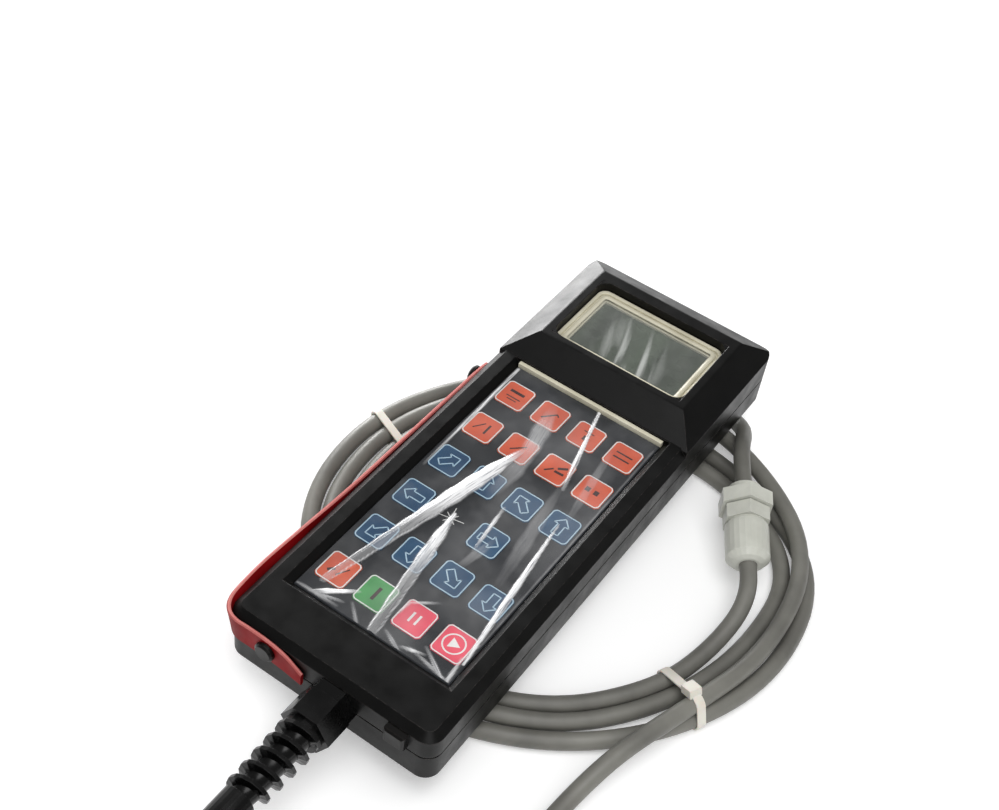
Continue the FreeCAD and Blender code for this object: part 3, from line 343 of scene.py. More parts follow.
class Finish:
    """One node material, with short calls that add and join its nodes."""

    def __init__(self, name):
        self.material = bpy.data.materials.new(name)
        self.material.use_nodes = True
        self.tree = self.material.node_tree
        self.shader = self.tree.nodes["Principled BSDF"]
        self.output = self.tree.nodes["Material Output"]
        self.place = self.add("ShaderNodeTexCoord").outputs["Object"]

    def feed(self, socket, value):
        if isinstance(value, bpy.types.NodeSocket):
            self.tree.links.new(value, socket)
        else:
            socket.default_value = value

    def add(self, kind, settings=None, **inputs):
        node = self.tree.nodes.new(kind)
        for name, value in (settings or {}).items():
            setattr(node, name, value)
        for name, value in inputs.items():
            self.feed(node.inputs[name], value)
        return node

    def noise(self, scale, detail=3.0, stretch=(1, 1, 1)):
        """Noise with a number of lumps in a metre; stretch squeezes it along an axis."""
        place = self.add("ShaderNodeMapping", Vector=self.place, Scale=stretch).outputs[0]
        return self.add("ShaderNodeTexNoise", Vector=place, Scale=scale, Detail=detail).outputs[0]

    def span(self, value, low, high, first=0.0, last=1.0):
        """A value's stretch from low to high, spread from first to last."""
        node = self.add("ShaderNodeMapRange", Value=value)
        for name, number in (("From Min", low), ("From Max", high), ("To Min", first), ("To Max", last)):
            node.inputs[name].default_value = number
        return node.outputs[0]

    def patchy(self, scale, first=0.0, last=1.0, detail=3.0):
        """A noise's middle stretch, spread from first to last."""
        return self.span(self.noise(scale, detail), *NOISE_MIDDLE, first, last)

    def calc(self, kind, *values):
        """The result of one step of arithmetic."""
        node = self.add("ShaderNodeMath", {"operation": kind})
        for socket, value in zip(node.inputs, values):
            self.feed(socket, value)
        return node.outputs[0]

    def measure(self, kind, *vectors):
        """One number from vectors, such as a length."""
        node = self.add("ShaderNodeVectorMath", {"operation": kind})
        for socket, vector in zip(node.inputs, vectors):
            self.feed(socket, vector)
        return node.outputs["Value"]

    def mix(self, share, first, second):
        node = self.add("ShaderNodeMix", {"data_type": "RGBA"})
        for number, value in zip(MIX_INPUTS, (share, first, second)):
            self.feed(node.inputs[number], value)
        return node.outputs[MIX_RESULT]

    def shades(self, share, dark, light):
        """A mix of two screen colours."""
        return self.mix(share, linear(dark), linear(light))

    def rounded(self, reach):
        """The surface's direction with its edges rounded by a reach in millimetres."""
        return self.add("ShaderNodeBevel", {"samples": BEVEL_SAMPLES}, Radius=reach * MM).outputs[0]

    def facing(self):
        return self.add("ShaderNodeNewGeometry").outputs["Normal"]

    def edges(self, reach):
        """Near 1 on sharp outer and inner edges, within a reach in millimetres."""
        return self.span(self.measure("DOT_PRODUCT", self.rounded(reach), self.facing()), *EDGE_FACING)

    def bump(self, height, strength, depth, normal=None):
        node = self.add("ShaderNodeBump", Height=height, Strength=strength, Distance=depth * MM)
        if normal is not None:
            self.feed(node.inputs["Normal"], normal)
        return node.outputs[0]

    def set(self, **inputs):
        for name, value in inputs.items():
            self.feed(self.shader.inputs[name.replace("_", " ")], value)

    def see_through(self, share):
        """Lets the surface show by a share, with what is behind it clear through the rest."""
        joined = self.add("ShaderNodeMixShader", Fac=share)
        self.feed(joined.inputs[1], self.add("ShaderNodeBsdfTransparent").outputs[0])
        self.feed(joined.inputs[2], self.shader.outputs[0])
        self.feed(self.output.inputs["Surface"], joined.outputs[0])


# Moulded surfaces

# Lighter edges, partly wear and partly painted highlight, have a reach and are broken up by a noise.
WEAR_AND_HIGHLIGHT_REACH = 0.35
WEAR_AND_HIGHLIGHT_SCALE = 400
WEAR_AND_HIGHLIGHT_SPAN = (0.35, 0.65)
# Smudges are this much finer than the patches of colour.
SMUDGE_SCALE = 1.7
GRAIN_DEPTH = 0.05
# Rounding of edges that stay sharp.
CRISP = 0.01


def moulded(name, dark, light, rough, patches=60, grain=2500, bump=0.25, edge=None, soft=0.25, **shader):
    """A moulded or rolled surface: patches between two colours, smudged gloss, fine grain and lighter edges
    that are partly wear and partly painted highlight.
    """
    finish = Finish(name)
    shade = finish.shades(finish.patchy(patches, detail=5), dark, light)
    # The edge colour is partly wear and partly a painted highlight along the edges.
    if edge is not None:
        broken = finish.span(finish.noise(WEAR_AND_HIGHLIGHT_SCALE), *WEAR_AND_HIGHLIGHT_SPAN)
        shade = finish.mix(finish.calc("MULTIPLY", finish.edges(WEAR_AND_HIGHLIGHT_REACH), broken), shade, linear(edge))
    finish.set(
        Base_Color=shade,
        Roughness=finish.patchy(patches * SMUDGE_SCALE, *rough, detail=4),
        Normal=finish.bump(finish.noise(grain, detail=2), bump, GRAIN_DEPTH, finish.rounded(soft)),
        **shader,
    )
    return finish.material


def case_finish(name, soft, edge=None):
    """The case's black plastic, with a coarser grain and little gloss."""
    return moulded(
        name, (4, 4, 4), (13, 13, 12), (0.34, 0.48), grain=2600, bump=0.5, edge=edge, soft=soft,
        Specular_IOR_Level=0.2,
    )


# Display and its window; a span gives where it starts and ends, and then its values there

DISPLAY_SHADES = ((38, 46, 37), (74, 86, 70))
DISPLAY_REFLECTION_BANDS = (1, 0.12, 1)
DISPLAY_SPAN = (0.35, 0.65)
CLEAR_IOR = 1.3
# Painted reflection streaks on the display's window: middle, lean, size of a streak and of their field, span,
# fade and shades.
REFLECTION_MIDDLE = (0, 111, 5.9)
REFLECTION_LEAN = 19
REFLECTION_MARK = (0.0046, 0.05, 1)
REFLECTION_FIELD = (0.019, 0.03, 1)
REFLECTION_SPAN = (0.5, 0.74, 0.0, 0.5)
REFLECTION_FADE = (1.0, 0.2)
REFLECTION_SHADES = ((196, 200, 196), (236, 238, 234))
LENS_DUST = (0.4, 0.8, 0.0, 0.03)
LENS_ROUGH = (0.4, 0.8, 0.06, 0.2)
LENS_STREAKS = (1, 0.03, 1)


def display_finish(name):
    """A reflective display: dark grey-green, with soft upright bands of painted reflection."""
    finish = Finish(name)
    # The lighter bands paint reflection streaks on the display.
    bands = finish.noise(scale=55, detail=2, stretch=DISPLAY_REFLECTION_BANDS)
    finish.set(
        Base_Color=finish.shades(finish.span(bands, *DISPLAY_SPAN), *DISPLAY_SHADES),
        Roughness=finish.patchy(scale=80, first=0.2, last=0.35),
        Normal=finish.bump(finish.noise(scale=3000, detail=1), strength=0.05, depth=0.01),
    )
    return finish.material


def reflection_place(finish, size):
    """Places round the middle of the painted reflection streaks, measured in a size of streaks."""
    return finish.add(
        "ShaderNodeMapping", {"vector_type": "TEXTURE"}, Vector=finish.place, Location=at(*REFLECTION_MIDDLE),
        Rotation=(0, 0, math.radians(REFLECTION_LEAN)), Scale=size,
    ).outputs[0]


def lens_finish(name):
    """The display's clear window, with soft pale streaks of painted reflection that start at its lower edge
    and fade upwards, and a painted sheen at grazing angles.
    """
    finish = Finish(name)
    marks = finish.add(
        "ShaderNodeTexNoise", Vector=reflection_place(finish, REFLECTION_MARK), Scale=1.0, Detail=1.0, Distortion=0.5,
    ).outputs[0]
    near = finish.span(finish.measure("LENGTH", reflection_place(finish, REFLECTION_FIELD)), *REFLECTION_FADE)
    pale = finish.calc("MULTIPLY", finish.span(marks, *REFLECTION_SPAN), near)
    # The Fresnel share paints a pale sheen that grows at grazing angles.
    gloss = finish.add("ShaderNodeFresnel", IOR=CLEAR_IOR).outputs[0]
    dust = finish.span(finish.noise(scale=160, detail=4), *LENS_DUST)
    finish.set(
        Base_Color=finish.shades(marks, *REFLECTION_SHADES),
        Roughness=finish.span(finish.noise(scale=900, detail=2, stretch=LENS_STREAKS), *LENS_ROUGH),
    )
    finish.see_through(finish.calc("ADD", finish.calc("ADD", pale, gloss), dust))
    return finish.material


# Clear film: streaks of painted glare run along a crease, keenly where it is bright and softly where it is
# faint

STREAK_SIZE = (1.6, 0.07, 1)
STREAK_SPAN = (0.32, 0.56, 0.35, 1.3)
GLARE_SHADES = ((208, 210, 216), (252, 252, 253))
KEEN_SPAN = (0.3, 0.7, 0.1, 1)
STREAK_MIDDLE = 0.8
HAZE_SPAN = (0.42, 0.78, 0.01, 0.11)
FILM_GLOSS = 0.6
FILM_MOST = 0.97
FILM_GRAIN = (1, 0.3, 1)


def film_finish(name):
    """Thin clear film: nearly unseen where it lies flat, with painted white glare in streaks along its
    creases and a painted sheen at grazing angles.
    """
    finish = Finish(name)
    # Painted glare along the creases, stored on the mesh.
    crease_glare = finish.add("ShaderNodeAttribute", {"attribute_name": "crease_glare"}).outputs["Fac"]
    fold = finish.add("ShaderNodeAttribute", {"attribute_name": "fold"}).outputs["Vector"]
    along = finish.add("ShaderNodeMapping", Vector=fold, Scale=STREAK_SIZE).outputs[0]
    strands = finish.add("ShaderNodeTexNoise", Vector=along, Scale=1.0, Detail=4.0).outputs[0]
    streak = finish.span(strands, *STREAK_SPAN)
    contrast = finish.calc("SUBTRACT", streak, STREAK_MIDDLE)
    contrast = finish.calc("MULTIPLY", contrast, finish.span(crease_glare, *KEEN_SPAN))
    painted_glare = finish.calc("MULTIPLY", crease_glare, finish.calc("ADD", contrast, STREAK_MIDDLE))
    haze = finish.span(finish.noise(scale=38), *HAZE_SPAN)
    fresnel = finish.add("ShaderNodeFresnel", IOR=CLEAR_IOR).outputs[0]
    # The Fresnel share paints a pale sheen that grows at grazing angles.
    share = finish.calc("ADD", finish.calc("ADD", painted_glare, haze), finish.calc("MULTIPLY", fresnel, FILM_GLOSS))
    finish.set(
        Base_Color=finish.shades(streak, *GLARE_SHADES),
        Roughness=finish.patchy(scale=300, first=0.15, last=0.4),
        Normal=finish.bump(finish.noise(scale=220, detail=4, stretch=FILM_GRAIN), strength=0.3, depth=0.2),
    )
    finish.see_through(finish.calc("MINIMUM", share, FILM_MOST))
    return finish.material


# Strap and conductors

STRAP_FACE = ((116, 6, 12), (150, 18, 24))
# Painted highlight: the paler shades on the strap's narrow faces that point up or down.
STRAP_EDGE_HIGHLIGHT = ((190, 104, 100), (214, 136, 130))
STRAP_HIGHLIGHT_SPAN = (0.5, 0.8)
WIRE_SHADES = ((150, 40, 35), (200, 170, 60), (60, 90, 140))
WIRE_STEPS = ((0.42, 0.44), (0.52, 0.54))


def strap_finish(name):
    """A red webbing strap: woven faces, and a paler painted highlight on its narrow faces that point up or
    down.
    """
    finish = Finish(name)
    face = finish.shades(finish.patchy(scale=60, detail=4), *STRAP_FACE)
    edge_highlight = finish.shades(finish.noise(scale=300), *STRAP_EDGE_HIGHLIGHT)
    upright = finish.add("ShaderNodeSeparateXYZ", Vector=finish.facing()).outputs["Z"]
    # Faces that point up or down take the painted highlight.
    highlight_share = finish.span(finish.calc("ABSOLUTE", upright), *STRAP_HIGHLIGHT_SPAN)
    weave = finish.add("ShaderNodeTexVoronoi", Vector=finish.place, Scale=900.0).outputs[0]
    finish.set(
        Base_Color=finish.mix(highlight_share, face, edge_highlight),
        Roughness=finish.patchy(scale=90, first=0.5, last=0.7),
        Specular_IOR_Level=0.22,
        Normal=finish.bump(weave, strength=0.2, depth=0.08),
    )
    return finish.material


def wire_finish(name):
    """Insulated conductors, in bands of colour across the bunch."""
    finish = Finish(name)
    bands = finish.noise(scale=330, detail=0)
    shade = linear(WIRE_SHADES[0])
    for step, colour in zip(WIRE_STEPS, WIRE_SHADES[1:]):
        shade = finish.mix(finish.span(bands, *step), shade, linear(colour))
    finish.set(
        Base_Color=shade,
        Roughness=finish.patchy(scale=200, first=0.35, last=0.55),
        Normal=finish.bump(finish.noise(scale=1500), strength=0.1, depth=0.03),
    )
    return finish.material


# The finish of each slot: two shades, roughness from and to, and what differs from the usual

KEY_SHADES = {
    "key_orange": ((190, 80, 50), (214, 102, 70)),
    "key_blue": ((18, 58, 90), (34, 82, 116)),
    "key_green": ((60, 138, 74), (86, 166, 98)),
    "key_red": ((210, 72, 92), (232, 100, 118)),
}
INK_SHADES = {
    "light": ((206, 206, 204), (232, 232, 230)),
    "dark": ((44, 20, 16), (66, 30, 24)),
    "blue": ((150, 184, 204), (186, 208, 220)),
}


def make_finishes():
    finishes = {
        # The case's pale edge colour paints highlight lines along its rims and edges.
        "case_black": case_finish("case", soft=0.5, edge=(96, 91, 88)),
        "seal_black": moulded("seal", (7, 7, 7), (14, 14, 14), (0.6, 0.8)),
        "screw_steel": moulded(
            "steel", (130, 130, 128), (175, 175, 172), (0.25, 0.45), edge=(205, 205, 200), Metallic=1.0),
        "overlay_grey": moulded("overlay", (26, 29, 33), (40, 43, 48), (0.28, 0.45), grain=5000, bump=0.15),
        "inner_plastic": moulded("inner", (26, 26, 27), (44, 44, 46), (0.4, 0.6)),
        "circuit_film": moulded("circuit", (150, 130, 80), (180, 158, 100), (0.25, 0.4)),
        "ivory": moulded(
            "ivory", (196, 190, 166), (222, 217, 195), (0.3, 0.5), grain=1800, bump=0.12,
            edge=(236, 233, 218)),
        "clear_film": film_finish("film"),
        "clear_lens": lens_finish("lens"),
        "lcd_green": display_finish("display"),
        "board_green": moulded("board", (20, 62, 40), (34, 88, 56), (0.3, 0.5)),
        "strap_red": strap_finish("strap"),
        "stud_black": moulded(
            "stud", (8, 7, 6), (18, 15, 13), (0.3, 0.5), edge=(50, 43, 38), Specular_IOR_Level=0.25),
        "gland_black": moulded(
            "gland", (8, 8, 8), (18, 18, 18), (0.16, 0.32), grain=1400, bump=0.12, edge=(48, 48, 48),
            Specular_IOR_Level=0.3),
        "nut_metal": moulded(
            "nut", (150, 142, 120), (190, 182, 160), (0.25, 0.4), edge=(220, 215, 200), Metallic=1.0),
        "cable_grey": moulded(
            "cable_jacket", (98, 97, 92), (128, 127, 120), (0.42, 0.6), patches=35, grain=3200, bump=0.2),
        "tie_white": moulded(
            "nylon", (214, 208, 196), (238, 234, 224), (0.3, 0.45), Subsurface_Weight=0.2,
            Subsurface_Scale=0.001),
        "wire_colours": wire_finish("wires"),
        "gland_grey": moulded(
            "panel_gland", (188, 189, 179), (216, 217, 207), (0.28, 0.45), grain=1200, bump=0.1,
            edge=(240, 240, 234)),
    }
    for slot, shades in KEY_SHADES.items():
        finishes[slot] = moulded(slot, *shades, (0.3, 0.45), grain=5000, bump=0.1)
    return finishes


def make_inks():
    inks = {}
    for name, shades in INK_SHADES.items():
        inks[name] = moulded(f"print_{name}", *shades, (0.35, 0.5), soft=CRISP)
    return inks


def dress(finishes):
    """Gives every node the finish of the slot that its packed material names."""
    for node in nodes.values():
        for slot in node.material_slots:
            slot.material = finishes[slot.material.name.split(".")[0]]


# Loops that prints and other forms are drawn with

def rounded_loop(half_x, half_y, radius, steps=5):
    loop = []
    for quarter, (side_x, side_y) in enumerate(CORNERS):
        for step in range(steps + 1):
            turn = math.radians(90 * quarter + 90 * step / steps)
            loop.append((side_x * (half_x - radius) + radius * math.cos(turn),
                         side_y * (half_y - radius) + radius * math.sin(turn)))
    return loop


def circle_loop(radius, steps=28):
    turns = [2 * math.pi * step / steps for step in range(steps)]
    return [(radius * math.cos(turn), radius * math.sin(turn)) for turn in turns]


def turned(loop, angle):
    across = math.cos(math.radians(angle))
    along = math.sin(math.radians(angle))
    return [(x * across - y * along, x * along + y * across) for x, y in loop]


# Printing on the keys: an outline on each, and plain signs

KEY_ROWS = "abcdef"
KEY_COLUMNS = "1234"
KEY_PITCH = (19, 25)
KEY_HALF = (7.0, 7.35)
KEY_TOP = 0.4
PRINT_ABOVE = 0.03
LINE = 0.55
CORNER = 2.2
ARROW = [(0, 5.0), (3.6, 1.2), (1.7, 1.2), (1.7, -4.6), (-1.7, -4.6), (-1.7, 1.2), (-3.6, 1.2)]
ARROW_TURNS = {
    "c1": -45, "c2": 0, "c3": 45, "c4": 0, "d1": 90, "d3": -90, "e1": 135, "e2": 180, "e3": -135, "e4": 180,
}
# Each stroke: start, end and width.
DARK_LINES = {
    "a1": [((-3.6, 2.0), (3.6, 2.0), 1.6), ((-3.6, -1.6), (3.6, -1.6), 0.6),
           ((-2.4, -3.2), (2.4, -3.2), 0.5)],
    "a2": [((-3.0, -3.2), (2.2, 2.6), 0.8), ((2.2, 2.6), (3.4, 1.4), 0.6)],
    "a3": [((-1.0, -1.2), (1.0, -1.2), 2.8), ((-2.6, 2.6), (2.6, 2.6), 0.5)],
    "a4": [((-4.0, 1.5), (4.0, 1.5), 0.8), ((-4.0, -1.5), (4.0, -1.5), 0.8)],
    "b1": [((-3.8, -2.6), (-0.2, 2.6), 0.6), ((2.2, -3.0), (2.2, 3.0), 1.0)],
    "b2": [((-3.0, -2.6), (2.6, 2.8), 0.7)],
    "b3": [((0.6, 1.2), (4.4, 3.8), 1.3), ((0.2, -0.8), (4.6, -0.6), 1.3), ((-3.8, -3.0), (-0.8, 0.2), 0.8)],
    "b4": [((-2.2, -1.2), (-2.2, 1.4), 2.2), ((2.0, -1.2), (2.0, 1.4), 2.2)],
    "f1": [((-3.6, -2.8), (-1.2, -0.4), 1.4), ((0.6, -2.8), (3.8, 2.6), 0.6)],
    "f2": [((0, -3.4), (0, 3.4), 1.5)],
}
PAUSE_KEY = "f3"
PAUSE_LINES = [((-1.5, -2.6), (-1.5, 2.6), 1.0), ((1.5, -2.6), (1.5, 2.6), 1.0)]
PLAY_KEY = "f4"
PLAY_RING = (5.0, 4.3)
PLAY_SIGN = [(-1.7, -2.6), (3.0, 0), (-1.7, 2.6)]
STAR_PLACE = "d2"
STAR_RAYS = 8
STAR_TURN = 12
STAR_HOLE = 0.8
STAR_REACH = (6.0, 3.6)
STAR_LINE = 0.4


def key_middle(name):
    """The middle of the key in a row and column, such as a1."""
    row = KEY_ROWS.index(name[0]) - (len(KEY_ROWS) - 1) / 2
    column = KEY_COLUMNS.index(name[1]) - (len(KEY_COLUMNS) - 1) / 2
    return column * KEY_PITCH[0], -row * KEY_PITCH[1]


class Print:
    """Flat printed shapes in one mesh, drawn round a middle point."""

    def __init__(self, middle, height):
        self.middle = middle
        self.height = height
        self.points = []
        self.faces = []

    def area(self, *loop):
        first = len(self.points)
        for x, y in loop:
            self.points.append(at(self.middle[0] + x, self.middle[1] + y, self.height))
        self.faces.append(tuple(range(first, first + len(loop))))

    def line(self, start, end, width=LINE):
        length = math.dist(start, end)
        along = ((end[0] - start[0]) / length, (end[1] - start[1]) / length)
        x, y = -along[1] * width / 2, along[0] * width / 2
        self.area((start[0] + x, start[1] + y), (start[0] - x, start[1] - y),
                  (end[0] - x, end[1] - y), (end[0] + x, end[1] + y))

    def lines(self, strokes):
        for stroke in strokes:
            self.line(*stroke)

    def band(self, outer, inner):
        """The closed band between two loops of as many points."""
        for step in range(len(outer)):
            ahead = (step + 1) % len(outer)
            self.area(outer[step], outer[ahead], inner[ahead], inner[step])

    def piece(self, name, body, slot, material):
        mesh_piece(name, self.points, self.faces, body, material, closed=False)


def print_key(node, inks):
    """A key's outline with its pale sign, and its dark sign as a piece of its own."""
    key = node.removeprefix("key_")
    drawn = Print(key_middle(key), KEY_TOP + PRINT_ABOVE)
    inner_half = [half - LINE for half in KEY_HALF]
    drawn.band(rounded_loop(*KEY_HALF, CORNER), rounded_loop(*inner_half, CORNER - LINE))
    if key in ARROW_TURNS:
        loop = turned(ARROW, ARROW_TURNS[key])
        drawn.lines(zip(loop, loop[1:] + loop[:1]))
    if key == PAUSE_KEY:
        drawn.lines(PAUSE_LINES)
    if key == PLAY_KEY:
        drawn.band(*[circle_loop(radius) for radius in PLAY_RING])
        drawn.area(*PLAY_SIGN)
    drawn.piece(f"print_{key}", node, "ivory", inks["blue" if key in ARROW_TURNS else "light"])
    if key in DARK_LINES:
        sign = Print(key_middle(key), KEY_TOP + PRINT_ABOVE)
        sign.lines(DARK_LINES[key])
        sign.piece(f"sign_{key}", node, "stud_black", inks["dark"])


def print_star(ink):
    """A star of thin rays, long and short, on a place without a key."""
    star = Print(key_middle(STAR_PLACE), PRINT_ABOVE)
    for step in range(STAR_RAYS):
        turn = math.radians(360 * step / STAR_RAYS + STAR_TURN)
        ends = (STAR_HOLE, STAR_REACH[step % 2])
        star.line(*[(far * math.cos(turn), far * math.sin(turn)) for far in ends], STAR_LINE)
    star.piece("print_star", "box", "ivory", ink)


def make_prints(inks):
    for node in nodes:
        if node.startswith("key_"):
            print_key(node, inks)
    print_star(inks["light"])


# Display frame: a stepped ring with two ridges that holds the window

DISPLAY_MIDDLE = 121
# Each step of the ring's section: half width, half length, corner radius and height.
FRAME_STEPS = [
    (33.8, 22.3, 4.8, 3.6), (33.8, 22.3, 4.8, 6.3), (33.4, 21.9, 4.4, 6.7), (32.4, 20.9, 3.6, 6.75),
    (32.0, 20.5, 3.3, 6.2), (31.9, 20.4, 3.2, 5.3), (31.2, 19.7, 2.7, 5.3), (31.1, 19.6, 2.6, 6.2),
    (30.5, 19.0, 2.3, 6.6), (29.7, 18.2, 1.8, 6.6), (29.1, 17.6, 1.4, 6.35), (28.8, 17.3, 1.2, 5.95),
    (30.6, 19.1, 1.0, 5.95), (30.6, 19.1, 1.0, 4.85), (28.2, 16.7, 0.8, 4.85), (28.2, 16.7, 0.8, 3.6),
]


def make_frame(material):
    points = []
    for half_x, half_y, radius, height in FRAME_STEPS:
        points += [at(x, DISPLAY_MIDDLE + y, height) for x, y in rounded_loop(half_x, half_y, radius)]
    faces = ring_faces(len(FRAME_STEPS), len(points) // len(FRAME_STEPS), closed=True)
    frame_piece = mesh_piece("display_frame", points, faces, "box", material)
    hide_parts("display_bezel")


# Rounded corners of the display opening, flush with the head

OPENING_HALF = (34, 22.5)
OPENING_ROUND = 5
OPENING_HEIGHTS = (6.2, 11)
OPENING_STEPS = 8


def make_opening_corners(material):
    points = []
    faces = []
    for side_x, side_y in CORNERS:
        corner = (side_x * OPENING_HALF[0], side_y * OPENING_HALF[1])
        outline = [corner]
        for step in range(OPENING_STEPS + 1):
            turn = math.pi / 2 * step / OPENING_STEPS
            outline.append((corner[0] - side_x * OPENING_ROUND * (1 - math.cos(turn)),
                            corner[1] - side_y * OPENING_ROUND * (1 - math.sin(turn))))
        faces += tube_faces(len(OPENING_HEIGHTS), len(outline), first=len(points))
        for height in OPENING_HEIGHTS:
            points += [at(x, DISPLAY_MIDDLE + y, height) for x, y in outline]
    mesh_piece("opening_corners", points, faces, "box", material)


# A black tube round the cable under the bend relief's wound fin, which makes the gaps between the fin's turns
# dark

CORE_TUBE_ENDS = (-123, -161.5)
CORE_TUBE_RADII = (5.7, 5.0)
CORE_TUBE_SWELL = 0.12
CORE_TUBE_PITCH = 7
CORE_TUBE_STEPS = (66, 24)


def make_core_tube(material):
    axis_x, _, axis_z = CABLE_EXIT
    rings, count = CORE_TUBE_STEPS
    points = []
    for ring in range(rings):
        share = ring / (rings - 1)
        y = between(CORE_TUBE_ENDS, share)
        radius = between(CORE_TUBE_RADII, share) + CORE_TUBE_SWELL * math.cos(2 * math.pi * y / CORE_TUBE_PITCH)
        points += [at(axis_x + x, y, axis_z + z) for x, z in circle_loop(radius, count)]
    core_tube = mesh_piece("relief_core_tube", points, tube_faces(rings, count), "box", material)
    core_tube.data.shade_smooth()


# Hand strap: a flat band that twists a little on its way

STRAP_THICK = 1.7
STRAP_EDGE = 0.5
STRAP_STEPS = 10
# Each place of the band's middle line, from the lower end up: x, y, z, lean of its top outward, and width.
STRAP = [
    (-10.8, -106.3, -9.6, 0, 6.5), (-14.5, -106.3, -8.0, 0, 8.5), (-20, -106.2, -6.1, 0, 10.6),
    (-28, -106.1, -5.1, 0, 11.6), (-37, -106.1, -5, 0, 12), (-44, -106.05, -5, 2, 12),
    (-48.6, -103.6, -5, 8, 12), (-51.2, -98.5, -5, 14, 12), (-51.9, -90, -5, 18, 12),
    (-52.2, -78, -5.2, 20, 12), (-52.0, -60, -5.5, 16, 12), (-51.8, -40, -5.6, 6, 12),
    (-51.9, -20, -5.6, -4, 12), (-51.8, 5, -5.6, -6, 12), (-51.4, 30, -5.6, -3, 11.6),
    (-51.1, 50, -5.4, 0, 10.5), (-51.1, 66, -5, 0, 9), (-51.1, 73, -5, 0, 7),
]


def smooth_rows(rows, steps):
    """Rows of numbers on a smooth line, a Catmull-Rom curve, through the given rows."""
    ends = [rows[0]] + rows + [rows[-1]]
    smooth = []
    for four in zip(ends, ends[1:], ends[2:], ends[3:]):
        for step in range(steps):
            share = step / steps
            square = share ** 2
            cube = share ** 3
            weights = (2 * square - share - cube, 2 - 5 * square + 3 * cube,
                       share + 4 * square - 3 * cube, cube - square)
            smooth.append([
                sum(weight * value for weight, value in zip(weights, values)) / 2 for values in zip(*four)
            ])
    return smooth + [list(rows[-1])]


def strap_section(width):
    """The band's section with its cut corners, as (outward, upward) places round its middle."""
    half = STRAP_THICK / 2
    rise = width / 2
    return [
        (half - STRAP_EDGE, rise), (half, rise - STRAP_EDGE),
        (half, STRAP_EDGE - rise), (half - STRAP_EDGE, -rise),
        (STRAP_EDGE - half, -rise), (-half, STRAP_EDGE - rise),
        (-half, rise - STRAP_EDGE), (STRAP_EDGE - half, rise),
    ]


def make_strap(material):
    rows = smooth_rows(STRAP, STRAP_STEPS)
    points = []
    for number, (x, y, z, lean, width) in enumerate(rows):
        before = rows[max(number - 1, 0)]
        after = rows[min(number + 1, len(rows) - 1)]
        along = Vector((after[0] - before[0], after[1] - before[1], 0)).normalized()
        outward = Vector((-along.y, along.x, 0))
        turn = math.radians(lean)
        upward = Vector((0, 0, math.cos(turn))) + outward * math.sin(turn)
        aside = outward * math.cos(turn) - Vector((0, 0, math.sin(turn)))
        for out, up in strap_section(width):
            points.append(at(*(Vector((x, y, z)) + aside * out + upward * up)))
    faces = tube_faces(len(rows), len(points) // len(rows))
    strap = mesh_piece("strap_band", points, faces, "box", material)
    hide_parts("hand_strap")


# Protective film over the keypad: a thin sheet with raised creases

FILM_HALF = (37.6, 78.4)
FILM_HEIGHT = 0.62
FILM_STEPS = (150, 310)
# The flat film's ripples: height, waves across, how far and how often they sway, waves along and their start.
RIPPLE_HEIGHT = 0.05
RIPPLE_ACROSS = 0.21
RIPPLE_SWAY = (0.35, 0.11)
RIPPLE_ALONG = (0.13, 1)
# How far and how often a crease's width wavers.
CREASE_WAVER = (0.06, 0.5)
# How fast a crease rises from its start and falls to its end, and the share of its height left there.
CREASE_TAPER = 9
CREASE_END = 0.3
# How fast the painted glare falls off towards a crease's sides.
GLARE_FALL = 2.4
# The rims of a crease: place and half width, as shares of its half width, and how bright the painted glare of
# the fainter one is.
RIM_PLACE = 0.8
RIM_HALF = 0.2
RIM_FAINT = 0.6
# How far apart the creases' glare streaks are in their noise.
FOLD_APART = 40
